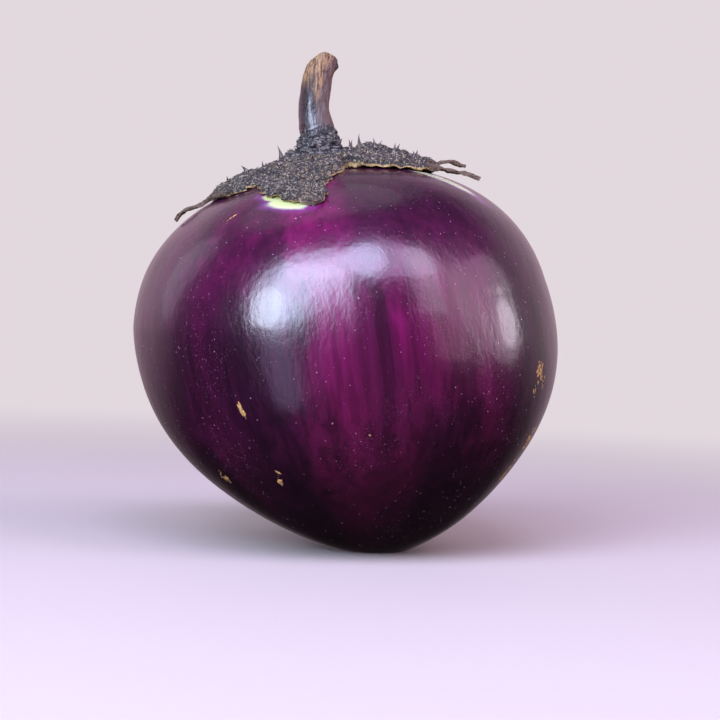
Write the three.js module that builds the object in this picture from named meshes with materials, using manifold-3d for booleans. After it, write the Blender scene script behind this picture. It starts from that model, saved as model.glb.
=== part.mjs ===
// A round purple eggplant, picked with its stem and standing on its blossom end.
// Three pieces: the glossy fruit, the dry prickly calyx that caps its shoulder,
// and the woody stem that comes up through the calyx's collar.
// Millimetres, +Z up. The origin is the middle of the small flat spot it rests on.

import * as THREE from "three";
import { mergeVertices } from "three/addons/utils/BufferGeometryUtils.js";
import Module from "manifold-3d";

const wasm = await Module();
wasm.setup();

const { degToRad, lerp, smoothstep } = THREE.MathUtils;

// The fruit: a superellipse whose power falls from the full shoulder to the tapering end.
// Heights are along the fruit's own axis. Azimuth 0 is its right, -90 its front.
const fruit = {
  radius: 56.65,
  waist: 61.65,
  shoulderRise: 45.65,
  shoulderPower: 2.25, // 2 is an ellipse, more is a fuller shoulder
  taperDrop: 61.05,
  taperPower: 1.7, // below 2 the taper is nearly a cone
  taperFullAt: -60, // latitudes between which the power changes
  shoulderFullAt: 35,
  blossomDrift: 5.4, // how far the blossom end grew to the right
  driftFrom: 70.8,
  crownDip: 1.2,
  crownDipRadius: 9,
  flatSpotDepth: 2.4, // how much of the blossom end the flat spot takes off
  sides: 64,
  rings: 36,
};

// Shallow furrows run down from between the sepals. A negative depth is a swelling.
const furrows = [
  { azimuth: -92, depth: 1.1, halfWidth: 12 },
  { azimuth: -52, depth: 0.9, halfWidth: 10 },
  { azimuth: -20, depth: -0.9, halfWidth: 24 },
  { azimuth: 18, depth: 0.9, halfWidth: 13 },
  { azimuth: 80, depth: 1.2, halfWidth: 14 },
  { azimuth: 132, depth: 0.9, halfWidth: 12 },
  { azimuth: 205, depth: 0.8, halfWidth: 13 },
];

// The whole plant part leans as it stands.
const leanLeft = 9.2;
const leanForward = 4;

// The stem: points of its centre line in the fruit's frame, from root to cut end, and
// its radius at heights along it. It flares just above the collar.
const stem = {
  line: [
    [0, 0, 106.7],
    [0, 0, 112],
    [-0.1, 0, 116],
    [-0.4, 0.1, 119.5],
    [-0.4, 0.2, 122.5],
    [-0.1, 0.3, 124.8],
    [0.5, 0.3, 127],
    [1.1, 0.4, 129.3],
    [1.65, 0.4, 131.3],
    [2.45, 0.4, 133.1],
    [3.4, 0.4, 134.9],
    [4.5, 0.5, 137],
    [6.4, 0.5, 140.5],
  ],
  rootRadius: 4.3,
  girth: [
    [116.2, 4.3],
    [117, 4.75],
    [119.2, 4.55],
    [121.7, 4.3],
    [124.3, 4.1],
    [130, 4.03],
    [140.5, 3.95],
  ],
  ridges: 5,
  ridgeDepth: 0.16,
  ridgesFrom: 120,
  ridgesFull: 125,
  sides: 24,
  steps: 30,
};

// The cut that took it off the plant: a point of it, and how far it faces back from straight
// up. A small nub stands on its rim, at a height along the stem's line.
const stemCut = {
  point: [-19.1, -7, 130.2],
  tilt: 42,
  nubHeight: 0.8,
  nubAt: 134.5,
  nubSpread: 1.1,
  nubWidth: 17,
};

// The calyx: a collar round the stem, then a blade that splits into sepals.
const clearance = 0.4; // between the calyx, the skin and the stem
const collar = {
  bore: stem.rootRadius + clearance,
  outline: [
    [5.35, 116.2],
    [5.5, 114.6],
    [5.75, 112.8],
    [6.2, 111.6],
    [7.6, 110.9],
  ],
  leftSwell: 0.5, // it bulges a little to the left
  leftSwellWidth: 70,
  wrinkle: 0.12,
  wrinklesAround: 9,
  prickleHeight: 113.4,
};
const blade = {
  rows: [10.5, 12.5, 15, 17.5, 20, 22.5, 25, 27.5], // radii shared by all the sepals
  ownRows: 8, // further rows of each sepal, out to its own tip
  columns: 12, // across each sepal
  rootThickness: 3.7,
  endThickness: 2.6,
  tailThickness: 1.3,
  tailTipShare: 0.38, // a tail's width at its very tip, as a share of its root
  marginShare: 0.36, // a margin's thickness, as a share of the midrib's
  archPower: 2.2, // higher keeps the thickness nearer to the margin
  crinkle: 0.28, // the height of two crossing waves in its top
  raggedness: 0.07, // of the margins, as a share of the width
};

// Where one sepal parts from the next: the azimuth, and which shared row the gap starts at.
const gaps = {
  frontRight: { azimuth: -63, row: 1 },
  rightFork: { azimuth: -6, row: 7 },
  backRight: { azimuth: 32, row: 3 },
  back: { azimuth: 92, row: 4 },
  backLeft: { azimuth: 150, row: 3 },
  frontLeft: { azimuth: 229, row: 5 },
};

// Each sepal: its line as [radius, azimuth, height off the skin], where its blade ends,
// how full each side is (0.5 is pinched, 2 is round), and its dry tail's half width.
const sepals = [
  {
    name: "right_lower",
    between: [gaps.frontRight, gaps.rightFork],
    line: [
      [10, -34, 0.2],
      [20, -25, 0.5],
      [28, -13, 0.7],
      [31.2, -7, 1.2],
      [34.4, -5, 1.85],
      [37.3, -5, 2.6],
      [40, -6, 2.9],
    ],
    bladeEnd: 31,
    fullness: [1.1, 1],
    tail: 1.35,
  },
  {
    name: "right_upper",
    between: [gaps.rightFork, gaps.backRight],
    line: [
      [10, 12, 0.2],
      [20, 11, 0.6],
      [27, 7, 1.2],
      [29.1, 6, 2.1],
      [30.8, 5, 3.1],
      [32.4, 4, 4.0],
      [34.4, 4, 4.4],
      [36.3, 5, 4.5],
    ],
    bladeEnd: 29,
    fullness: [1, 0.8],
    tail: 1.35,
  },
  {
    name: "back_right",
    between: [gaps.backRight, gaps.back],
    line: [[10, 62, 0], [24, 60, 0.4], [32, 57, 1.2], [37, 54, 2.6], [40, 51, 2.4]],
    bladeEnd: 35,
    fullness: [1.2, 1],
    tail: 1.3,
  },
  {
    name: "back_left",
    between: [gaps.back, gaps.backLeft],
    line: [[10, 121, 0], [24, 122, 0.3], [32, 126, 0.9], [37, 130, 1.6], [41, 133, 3.0]],
    bladeEnd: 35,
    fullness: [1, 1.3],
    tail: 1.3,
  },
  {
    name: "left",
    between: [gaps.backLeft, gaps.frontLeft],
    line: [
      [10, 188, 0],
      [22, 191, 0.3],
      [28.5, 192, 0.2],
      [33.4, 188, 0.6],
      [35.8, 186, 1.2],
      [38.2, 185, 1.8],
      [40, 184, 1.3],
    ],
    bladeEnd: 31,
    fullness: [1.2, 1.4],
    tail: 1.3,
  },
  {
    name: "front",
    between: [gaps.frontLeft, gaps.frontRight],
    line: [[10, 257, 0], [20, 259, 0.2], [26, 256, 0.2], [30.5, 258, 0.2], [33.5, 262.5, 0.3], [37.4, 267, 0.4]],
    bladeEnd: 37,
    fullness: [2, 3.3],
    tail: 0.6,
  },
];

// Where the fleshy calyx buckles, beside the collar and further out: place, height and
// spread. A negative height is a dip.
const swellings = [
  { azimuth: 200, radius: 9.6, height: 2.6, spread: 2.2 },
  { azimuth: 189, radius: 15.5, height: -1.5, spread: 2.8 },
  { azimuth: -6, radius: 12.5, height: 2, spread: 5.5 },
  { azimuth: 4, radius: 20, height: 0.9, spread: 5 },
  { azimuth: 60, radius: 13, height: 1.6, spread: 5 },
  { azimuth: 118, radius: 14, height: 1.4, spread: 5 },
  { azimuth: -96, radius: 17, height: 0.6, spread: 5 },
];

const prickle = {
  spacing: 4.6,
  shortest: 1.8,
  longest: 3.6,
  rootRadius: 0.62,
  middleRadius: 0.26,
  rootDepth: 1.1,
  collarAzimuths: [-8, 95, 205, 262],
  collarLength: 1.7,
  collarBend: 0.4,
  collarRise: 0.55, // how far they point up, as a share of outwards
  collarRootDepth: 0.4, // the collar's wall is thin
  sides: 5,
  seed: 7,
};

const materials = {
  skin: new THREE.MeshStandardMaterial({ color: 0x3a0f33, roughness: 0.22, metalness: 0 }),
  calyx: new THREE.MeshStandardMaterial({ color: 0x4a443d, roughness: 0.9, metalness: 0 }),
  stem: new THREE.MeshStandardMaterial({ color: 0x4b3a33, roughness: 0.5, metalness: 0 }),
};

// A repeatable random number between 0 and 1.
function seededRandom(seed) {
  let state = seed;
  return () => {
    state = (state * 16807) % 2147483647;
    return state / 2147483647;
  };
}

function gaussian(distance, spread) {
  return Math.exp(-((distance / spread) ** 2));
}

// The smallest turn from one azimuth to another, in degrees.
function turnBetween(a, b) {
  return ((((a - b) % 360) + 540) % 360) - 180;
}

// A smooth value through [position, value] pairs.
function through(pairs, column, position) {
  const last = pairs.length - 1;
  if (position <= pairs[0][0]) return pairs[0][column];
  if (position >= pairs[last][0]) return pairs[last][column];
  const i = pairs.findIndex((pair) => pair[0] > position) - 1;
  const around = [Math.max(i - 1, 0), i, i + 1, Math.min(i + 2, last)];
  const [before, from, to, after] = around.map((k) => pairs[k]);
  const span = to[0] - from[0];
  const share = (position - from[0]) / span;
  const leave = ((to[column] - before[column]) / (to[0] - before[0])) * span;
  const arrive = ((after[column] - from[column]) / (after[0] - from[0])) * span;
  const square = share * share;
  const cube = square * share;
  return (
    (2 * cube - 3 * square + 1) * from[column] +
    (cube - 2 * square + share) * leave +
    (3 * square - 2 * cube) * to[column] +
    (cube - square) * arrive
  );
}

function solidOf(geometry) {
  const bare = geometry.clone();
  bare.deleteAttribute("normal");
  bare.deleteAttribute("uv");
  const merged = mergeVertices(bare, 1e-4);
  return new wasm.Manifold(
    new wasm.Mesh({
      numProp: 3,
      vertProperties: new Float32Array(merged.attributes.position.array),
      triVerts: new Uint32Array(merged.index.array),
    }),
  );
}

function geometryOf(solid) {
  const mesh = solid.getMesh();
  const geometry = new THREE.BufferGeometry();
  geometry.setAttribute("position", new THREE.BufferAttribute(new Float32Array(mesh.vertProperties), 3));
  geometry.setIndex(new THREE.BufferAttribute(new Uint32Array(mesh.triVerts), 1));
  geometry.computeVertexNormals();
  return geometry;
}

// Collects points and faces. A quad or triangle runs anticlockwise, seen from outside.
class Surface {
  points = [];
  faces = [];

  add(point) {
    this.points.push(point);
    return this.points.length - 1;
  }

  triangle(a, b, c) {
    if (a !== b && b !== c && a !== c) this.faces.push(a, b, c);
  }

  quad(a, b, c, d) {
    this.triangle(a, b, c);
    this.triangle(a, c, d);
  }

  geometry() {
    const geometry = new THREE.BufferGeometry().setFromPoints(this.points);
    geometry.setIndex(this.faces);
    return geometry;
  }
}

// Rings of equal length from one end of a solid to the other, closed by a point at each end.
function lofted(rings, firstEnd, lastEnd) {
  const surface = new Surface();
  const rows = rings.map((ring) => ring.map((point) => surface.add(point)));
  const first = surface.add(firstEnd);
  const last = surface.add(lastEnd);
  const count = rows[0].length;
  for (let i = 0; i < count; i++) {
    const j = (i + 1) % count;
    surface.triangle(first, rows[0][j], rows[0][i]);
    surface.triangle(last, rows.at(-1)[i], rows.at(-1)[j]);
    for (let k = 0; k + 1 < rows.length; k++) {
      surface.quad(rows[k][i], rows[k][j], rows[k + 1][j], rows[k + 1][i]);
    }
  }
  return surface.geometry();
}

// Depth of the furrows at an azimuth: full on the shoulder, fading to the blossom end.
function furrowDepth(azimuth, latitude) {
  const fade = lerp(0.25, 1, smoothstep(latitude, -70, 30));
  const depths = furrows.map((f) => f.depth * gaussian(turnBetween(azimuth, f.azimuth), f.halfWidth));
  return fade * depths.reduce((sum, depth) => sum + depth, 0);
}

// A point of the skin. Latitude runs from -90 at the blossom end to 90 at the crown.
function skinPoint(azimuth, latitude) {
  const full = smoothstep(latitude, fruit.taperFullAt, fruit.shoulderFullAt);
  const power = 2 / lerp(fruit.taperPower, fruit.shoulderPower, full);
  const share = Math.max(0, Math.cos(degToRad(latitude))) ** power;
  const rise = Math.abs(Math.sin(degToRad(latitude))) ** power;
  const girth = share * (fruit.radius - furrowDepth(azimuth, latitude));
  const height = fruit.waist + (latitude > 0 ? fruit.shoulderRise : -fruit.taperDrop) * rise;
  const below = Math.max(0, (fruit.driftFrom - height) / fruit.driftFrom);
  return new THREE.Vector3(
    girth * Math.cos(degToRad(azimuth)) + fruit.blossomDrift * below,
    girth * Math.sin(degToRad(azimuth)),
    height - fruit.crownDip * gaussian(girth, fruit.crownDipRadius),
  );
}

// The point of the crown's skin at a distance from the axis, and the way it faces.
function crownPoint(azimuth, radius) {
  let [low, high] = [10, 90];
  for (let i = 0; i < 40; i++) {
    const middle = (low + high) / 2;
    const point = skinPoint(azimuth, middle);
    if (Math.hypot(point.x, point.y) > radius) low = middle;
    else high = middle;
  }
  return skinPoint(azimuth, low);
}

function crownFacing(azimuth, radius) {
  const step = 0.4;
  const turn = step / degToRad(radius);
  const outward = crownPoint(azimuth, radius + step).sub(crownPoint(azimuth, radius - step));
  const around = crownPoint(azimuth + turn, radius).sub(crownPoint(azimuth - turn, radius));
  return outward.cross(around).normalize();
}

function makeFruit(stance) {
  const rings = [];
  for (let k = 1; k < fruit.rings; k++) {
    const latitude = lerp(-90, 90, k / fruit.rings);
    rings.push(
      Array.from({ length: fruit.sides }, (_, i) => skinPoint((i * 360) / fruit.sides, latitude)),
    );
  }
  const whole = lofted(rings, skinPoint(0, -90), skinPoint(0, 90));

  // Set it down: the lowest point goes under the table by the depth of the flat spot.
  stance.rotation.set(degToRad(leanForward), degToRad(-leanLeft), 0);
  stance.updateMatrix();
  const stood = whole.clone().applyMatrix4(stance.matrix);
  stood.computeBoundingBox();
  stance.position.z = -stood.boundingBox.min.z - fruit.flatSpotDepth;
  stance.updateMatrix();

  const table = new THREE.BoxGeometry(100, 100, 40).translate(0, 0, -20);
  table.applyMatrix4(stance.matrix.clone().invert());
  const body = solidOf(whole).subtract(solidOf(table));
  const geometry = geometryOf(body);

  // Move the origin to the middle of the flat spot.
  const spot = new THREE.Box3();
  const point = new THREE.Vector3();
  for (let i = 0; i < geometry.attributes.position.count; i++) {
    point.fromBufferAttribute(geometry.attributes.position, i).applyMatrix4(stance.matrix);
    if (point.z < 0.001) spot.expandByPoint(point);
  }
  const middle = spot.getCenter(new THREE.Vector3());
  stance.position.x = -middle.x;
  stance.position.y = -middle.y;
  return geometry;
}

// 0 on a sepal's blade, rising to 1 on its dry tail, which starts beyond the shared rows.
function tailShare(sepal, radius) {
  const start = Math.max(sepal.bladeEnd - 4, blade.rows.at(-1));
  return smoothstep(radius, start, sepal.bladeEnd + 1.5);
}

// How thick the blade is, and how its top swells, at a place on a sepal.
function bladeThickness(sepal, azimuth, radius, across) {
  const [rootRadius, endRadius] = [12, 34];
  const along = smoothstep(radius, rootRadius, endRadius);
  const tail = tailShare(sepal, radius);
  const midrib = lerp(lerp(blade.rootThickness, blade.endThickness, along), blade.tailThickness, tail);
  const edge = lerp(1, blade.marginShare, smoothstep(radius, rootRadius, 20));
  const arch = lerp(1, edge, Math.abs(across) ** blade.archPower);
  const turn = degToRad(azimuth);
  const crinkle = blade.crinkle * Math.sin(radius * 1.15 + 12 * turn) * Math.sin(19 * turn - radius * 0.4);
  const swelling = swellings.reduce((sum, s) => {
    const sideways = degToRad(turnBetween(azimuth, s.azimuth)) * radius;
    return sum + s.height * gaussian(Math.hypot(sideways, radius - s.radius), s.spread);
  }, 0);
  return midrib * arch + (crinkle + swelling) * (1 - tail);
}

// Half the angle a sepal covers on one side of its line.
function halfAngle(sepal, side, radius) {
  const gap = sepal.between[side];
  const gapRadius = blade.rows[gap.row];
  const lineAt = (r) => through(sepal.line, 1, r);
  if (radius <= gapRadius) return Math.abs(turnBetween(gap.azimuth, lineAt(radius)));
  const along = Math.min(1, (radius - gapRadius) / (sepal.bladeEnd - gapRadius));
  const full = degToRad(Math.abs(turnBetween(gap.azimuth, lineAt(gapRadius)))) * gapRadius;
  const ragged = 1 + blade.raggedness * Math.sin(radius * 2.3 + gap.azimuth);
  const shape = Math.sqrt(Math.max(0, 1 - along ** sepal.fullness[side]));
  const tip = sepal.line.at(-1)[0];
  const tail = sepal.tail * lerp(1, blade.tailTipShare, smoothstep(radius, sepal.bladeEnd, tip));
  return THREE.MathUtils.radToDeg(Math.max(full * shape * ragged, tail) / radius);
}

// The two faces of the blade at a row and a column of a sepal.
function bladePair(sepal, radius, column) {
  const across = (2 * column) / blade.columns - 1;
  const line = through(sepal.line, 1, radius);
  const azimuth = line + across * halfAngle(sepal, across < 0 ? 0 : 1, radius);
  const skin = crownPoint(azimuth, radius);
  const facing = crownFacing(azimuth, radius);
  const gapRadius = blade.rows[sepal.between[across < 0 ? 0 : 1].row];
  const joined = 1 - smoothstep(radius, gapRadius, gapRadius + 4);
  const lift = through(sepal.line, 2, radius) * (1 - joined * smoothstep(Math.abs(across), 0.2, 1));
  const under = clearance + lift;
  const thickness = bladeThickness(sepal, azimuth, radius, across);
  return [under, under + thickness].map((height) => skin.clone().addScaledVector(facing, height));
}

function collarPoint(azimuth, radius, height) {
  const wrinkle = collar.wrinkle * Math.sin(degToRad(azimuth) * collar.wrinklesAround + height * 2);
  const swell = collar.leftSwell * gaussian(turnBetween(azimuth, 180), collar.leftSwellWidth);
  const reach = radius + wrinkle + swell;
  return new THREE.Vector3(
    reach * Math.cos(degToRad(azimuth)),
    reach * Math.sin(degToRad(azimuth)),
    height,
  );
}

function borePoint(azimuth, height) {
  const [across, away] = [Math.cos(degToRad(azimuth)), Math.sin(degToRad(azimuth))];
  return new THREE.Vector3(collar.bore * across, collar.bore * away, height);
}

function makeBlade() {
  const surface = new Surface();
  for (const sepal of sepals) {
    const tip = sepal.line.at(-1)[0];
    const lastShared = blade.rows.at(-1);
    const own = Array.from({ length: blade.ownRows }, (_, k) => {
      return lerp(lastShared, tip, (k + 1) / blade.ownRows);
    });
    const radii = [...blade.rows, ...own];
    const pairs = radii.map((radius) =>
      Array.from({ length: blade.columns + 1 }, (_, c) => bladePair(sepal, radius, c)),
    );
    const azimuths = Array.from({ length: blade.columns + 1 }, (_, c) => {
      const across = (2 * c) / blade.columns - 1;
      const line = through(sepal.line, 1, blade.rows[0]);
      return line + across * halfAngle(sepal, across < 0 ? 0 : 1, blade.rows[0]);
    });

    const under = pairs.map((row) => row.map(([point]) => surface.add(point)));
    const upper = pairs.map((row) => row.map(([, point]) => surface.add(point)));
    const outside = collar.outline.map(([r, h]) => azimuths.map((a) => surface.add(collarPoint(a, r, h))));
    const boreTop = azimuths.map((a) => surface.add(borePoint(a, collar.outline[0][1])));
    const boreFoot = azimuths.map((a) => {
      return surface.add(borePoint(a, crownPoint(a, collar.bore).z + clearance));
    });

    const section = [boreFoot, boreTop, ...outside, ...upper, ...under.toReversed()];
    section.forEach((inner, k) => {
      const outer = section[(k + 1) % section.length];
      for (let c = 0; c < blade.columns; c++) surface.quad(inner[c + 1], inner[c], outer[c], outer[c + 1]);
    });
    const [low, high] = [0, blade.columns];
    for (let k = 0; k + 1 < radii.length; k++) {
      const [outer, inner] = [k + 1, k];
      if (k >= sepal.between[0].row) {
        surface.quad(upper[outer][low], upper[inner][low], under[inner][low], under[outer][low]);
      }
      if (k >= sepal.between[1].row) {
        surface.quad(upper[inner][high], upper[outer][high], under[outer][high], under[inner][high]);
      }
    }
  }
  return solidOf(surface.geometry());
}

// A slender cone that bends, from its root through its middle to its tip.
function makePrickle(root, direction, bend, length, depth) {
  const middle = root.clone().addScaledVector(direction, length * 0.5);
  const tip = root.clone().addScaledVector(direction, length).add(bend);
  const sideways = new THREE.Vector3(0.3, 0.7, 0.2).cross(direction).normalize();
  const upways = direction.clone().cross(sideways);
  const ring = (centre, radius) =>
    Array.from({ length: prickle.sides }, (_, i) => {
      const angle = (i * 2 * Math.PI) / prickle.sides;
      return centre
        .clone()
        .addScaledVector(sideways, radius * Math.cos(angle))
        .addScaledVector(upways, radius * Math.sin(angle));
    });
  const buried = root.clone().addScaledVector(direction, -depth);
  const places = [
    [buried, prickle.rootRadius],
    [root, prickle.rootRadius],
    [middle, prickle.middleRadius],
  ];
  const rings = places.map(([centre, radius]) => ring(centre, radius));
  return solidOf(lofted(rings, buried, tip));
}

// Prickles stand along the midrib of each sepal, longest near the stem, and a few on the collar.
function makePrickles() {
  const random = seededRandom(prickle.seed);
  const made = [];
  for (const sepal of sepals) {
    for (let radius = 11; radius < sepal.bladeEnd - 3; radius += prickle.spacing) {
      const across = (random() - 0.5) * 0.7;
      const line = through(sepal.line, 1, radius);
      const azimuth = line + across * halfAngle(sepal, across < 0 ? 0 : 1, radius);
      const lift = through(sepal.line, 2, radius);
      const top = clearance + lift + bladeThickness(sepal, azimuth, radius, across);
      const facing = crownFacing(azimuth, radius);
      const root = crownPoint(azimuth, radius).addScaledVector(facing, top - 0.1);
      const outward = new THREE.Vector3(Math.cos(degToRad(azimuth)), Math.sin(degToRad(azimuth)), 0);
      const direction = facing.clone().addScaledVector(outward, 0.5 * (random() - 0.4)).normalize();
      const usual = lerp(prickle.longest, prickle.shortest, smoothstep(radius, 9, 30));
      const length = usual * lerp(0.75, 1.1, random());
      const bend = outward.multiplyScalar(0.8 * (random() - 0.5));
      made.push(makePrickle(root, direction, bend, length, prickle.rootDepth));
    }
  }
  for (const azimuth of prickle.collarAzimuths) {
    const [across, away] = [Math.cos(degToRad(azimuth)), Math.sin(degToRad(azimuth))];
    const outward = new THREE.Vector3(across, away, prickle.collarRise).normalize();
    const root = collarPoint(azimuth, collar.outline[2][0] - 0.2, collar.prickleHeight);
    const bend = new THREE.Vector3(0, 0, prickle.collarBend);
    made.push(makePrickle(root, outward, bend, prickle.collarLength, prickle.collarRootDepth));
  }
  return made;
}

function makeCalyx() {
  return geometryOf(makePrickles().reduce((joined, one) => joined.add(one), makeBlade()));
}

// The stem's radius at a height, with faint lengthwise ridges and the nub beside the cut.
function stemRadius(height, angle) {
  const shaft = through(stem.girth, 1, height);
  const ridged = smoothstep(height, stem.ridgesFrom, stem.ridgesFull);
  const ridge = stem.ridgeDepth * Math.cos(stem.ridges * angle) * ridged;
  const sideways = turnBetween(THREE.MathUtils.radToDeg(angle), 0);
  const nub = gaussian(height - stemCut.nubAt, stemCut.nubSpread) * gaussian(sideways, stemCut.nubWidth);
  return shaft + ridge + stemCut.nubHeight * nub;
}

function makeStem(stance) {
  const path = new THREE.CatmullRomCurve3(stem.line.map((point) => new THREE.Vector3(...point)));
  const rings = [];
  for (let k = 0; k <= stem.steps; k++) {
    const centre = path.getPointAt(k / stem.steps);
    const ahead = path.getTangentAt(k / stem.steps);
    const back = new THREE.Vector3(0, 1, 0);
    const side = back.clone().cross(ahead).normalize();
    back.crossVectors(ahead, side);
    rings.push(
      Array.from({ length: stem.sides }, (_, i) => {
        const angle = (i * 2 * Math.PI) / stem.sides;
        const radius = stemRadius(centre.z, angle);
        return centre
          .clone()
          .addScaledVector(side, radius * Math.cos(angle))
          .addScaledVector(back, radius * Math.sin(angle));
      }),
    );
  }
  const whole = lofted(rings, path.getPointAt(0), path.getPointAt(1));

  const beyond = new THREE.BoxGeometry(40, 40, 20).translate(0, 0, 10);
  beyond.rotateX(degToRad(-stemCut.tilt)).translate(...stemCut.point);
  stance.updateMatrix();
  beyond.applyMatrix4(stance.matrix.clone().invert());
  return geometryOf(solidOf(whole).subtract(solidOf(beyond)));
}

function piece(name, geometry, material) {
  const mesh = new THREE.Mesh(geometry, material);
  mesh.name = name;
  return mesh;
}

const eggplant = new THREE.Group();
const stance = new THREE.Group();
eggplant.add(stance);
stance.add(piece("fruit", makeFruit(stance), materials.skin));
stance.add(piece("calyx", makeCalyx(), materials.calyx));
stance.add(piece("stem", makeStem(stance), materials.stem));

export default eggplant;
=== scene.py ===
# Looks for a round purple eggplant: glossy fruit, dry felted calyx, woody stem.
# Metres, +Z up, the flat resting spot round the origin. The fruit leans to its left.
# Each piece has its numbers in a dictionary beside its code, in millimetres and degrees
# where no note says otherwise. Light and camera are in metres, patterns are per metre.

import math

import bmesh
import bpy
import numpy as np
from mathutils import Matrix, Vector, noise


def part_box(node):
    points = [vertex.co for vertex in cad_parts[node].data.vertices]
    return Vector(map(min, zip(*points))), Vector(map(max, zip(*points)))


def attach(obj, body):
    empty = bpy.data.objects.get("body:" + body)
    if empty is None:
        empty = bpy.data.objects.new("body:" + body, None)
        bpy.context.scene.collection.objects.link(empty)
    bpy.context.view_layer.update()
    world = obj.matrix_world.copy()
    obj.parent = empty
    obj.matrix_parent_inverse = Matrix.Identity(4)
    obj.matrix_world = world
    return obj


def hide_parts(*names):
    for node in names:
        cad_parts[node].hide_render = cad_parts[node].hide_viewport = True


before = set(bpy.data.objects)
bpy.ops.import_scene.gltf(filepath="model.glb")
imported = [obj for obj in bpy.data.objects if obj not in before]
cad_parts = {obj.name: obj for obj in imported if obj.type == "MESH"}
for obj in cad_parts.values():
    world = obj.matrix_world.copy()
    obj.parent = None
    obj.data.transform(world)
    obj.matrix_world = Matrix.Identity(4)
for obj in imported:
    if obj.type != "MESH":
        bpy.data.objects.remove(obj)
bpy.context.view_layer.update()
mm = 0.001
degree = math.radians(1)


# Node helpers. A value is either a plain number, vector or colour, or another node's output.


def feed(tree, socket, value):
    if isinstance(value, bpy.types.NodeSocket):
        tree.links.new(value, socket)
    else:
        socket.default_value = value


def addNode(tree, kind, settings=None, inputs=None):
    node = tree.nodes.new(kind)
    for name, value in (settings or {}).items():
        setattr(node, name, value)
    for name, value in (inputs or {}).items():
        feed(tree, node.inputs[name], value)
    return node


def calc(tree, operation, *values):
    node = addNode(tree, "ShaderNodeMath", {"operation": operation})
    for socket, value in zip(node.inputs, values):
        feed(tree, socket, value)
    return node.outputs[0]


def plus(tree, first, second):
    return calc(tree, "ADD", first, second)


def minus(tree, first, second):
    return calc(tree, "SUBTRACT", first, second)


def times(tree, first, second):
    return calc(tree, "MULTIPLY", first, second)


def timesPlus(tree, first, second, third):
    return calc(tree, "MULTIPLY_ADD", first, second, third)


def vectorCalc(tree, operation, *values):
    node = addNode(tree, "ShaderNodeVectorMath", {"operation": operation})
    for socket, value in zip(node.inputs, values):
        feed(tree, socket, value)
    isNumber = operation in ("LENGTH", "DISTANCE", "DOT_PRODUCT")
    return node.outputs["Value"] if isNumber else node.outputs["Vector"]


def remap(tree, value, low, high, outLow=0.0, outHigh=1.0, smooth=True):
    kind = "SMOOTHSTEP" if smooth else "LINEAR"
    inputs = {"Value": value, "From Min": low, "From Max": high, "To Min": outLow, "To Max": outHigh}
    return addNode(tree, "ShaderNodeMapRange", {"interpolation_type": kind}, inputs).outputs["Result"]


# Adds a noise to a value, centred on nought.
def sway(tree, pattern, amount, value=0.0):
    return timesPlus(tree, minus(tree, pattern, 0.5), amount, value)


def bell(tree, distance, spread):
    squared = calc(tree, "POWER", calc(tree, "DIVIDE", distance, spread), 2.0)
    return calc(tree, "POWER", math.e, times(tree, squared, -1.0))


def positionOf(tree):
    return addNode(tree, "GeometryNodeInputPosition").outputs[0]


def combine(tree, x, y, z):
    return addNode(tree, "ShaderNodeCombineXYZ", inputs={"X": x, "Y": y, "Z": z}).outputs[0]


def separate(tree, vector):
    return addNode(tree, "ShaderNodeSeparateXYZ", inputs={"Vector": vector}).outputs


def scaleBy(tree, vector, amount):
    node = addNode(tree, "ShaderNodeVectorMath", {"operation": "SCALE"}, {"Scale": amount})
    feed(tree, node.inputs[0], vector)
    return node.outputs["Vector"]


def turnFrom(tree, azimuth, at):
    return calc(tree, "WRAP", minus(tree, azimuth, math.radians(at)), math.pi, -math.pi)


def movePoints(tree, geometry, **change):
    return addNode(tree, "GeometryNodeSetPosition", inputs={"Geometry": geometry, **change}).outputs[0]


def readAttribute(tree, name, kind="FLOAT"):
    node = addNode(tree, "GeometryNodeInputNamedAttribute", {"data_type": kind}, {"Name": name})
    return node.outputs[0]


def storeAttribute(tree, geometry, name, value, kind="FLOAT"):
    settings = {"data_type": kind, "domain": "POINT"}
    inputs = {"Geometry": geometry, "Name": name, "Value": value}
    return addNode(tree, "GeometryNodeStoreNamedAttribute", settings, inputs).outputs[0]


def makeCone(tree, sides, rows, radius, depth):
    inputs = {"Vertices": sides, "Side Segments": rows, "Radius Bottom": radius, "Depth": depth}
    node = addNode(tree, "GeometryNodeMeshCone", inputs={"Radius Top": 0.0, **inputs})
    return node.outputs["Mesh"]


def upAlong(tree, heading):
    node = addNode(tree, "FunctionNodeAlignRotationToVector", {"axis": "Z"}, {"Vector": heading})
    return node.outputs[0]


def plant(tree, points, shape, rotation, scale):
    inputs = {"Points": points, "Instance": shape, "Rotation": rotation, "Scale": scale}
    return addNode(tree, "GeometryNodeInstanceOnPoints", inputs=inputs).outputs[0]


# Named inputs of a tree from a piece's dictionary: shoulderRise becomes Shoulder Rise.
def sizesOf(source, names, unit=1):
    def label(name):
        return "".join(" " + letter if letter.isupper() else letter for letter in name).title()

    return {label(name): source[name] * unit for name in names.split()}


def newTree(name, sizes):
    tree = bpy.data.node_groups.new(name, "GeometryNodeTree")
    face = tree.interface
    face.new_socket(name="Geometry", in_out="INPUT", socket_type="NodeSocketGeometry")
    for label, value in sizes.items():
        kind = "NodeSocketInt" if isinstance(value, int) else "NodeSocketFloat"
        face.new_socket(name=label, in_out="INPUT", socket_type=kind)
    face.new_socket(name="Geometry", in_out="OUTPUT", socket_type="NodeSocketGeometry")
    return tree, tree.nodes.new("NodeGroupInput").outputs, tree.nodes.new("NodeGroupOutput")


def linkObject(name, data):
    made = bpy.data.objects.new(name, data)
    bpy.context.scene.collection.objects.link(made)
    return made


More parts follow.
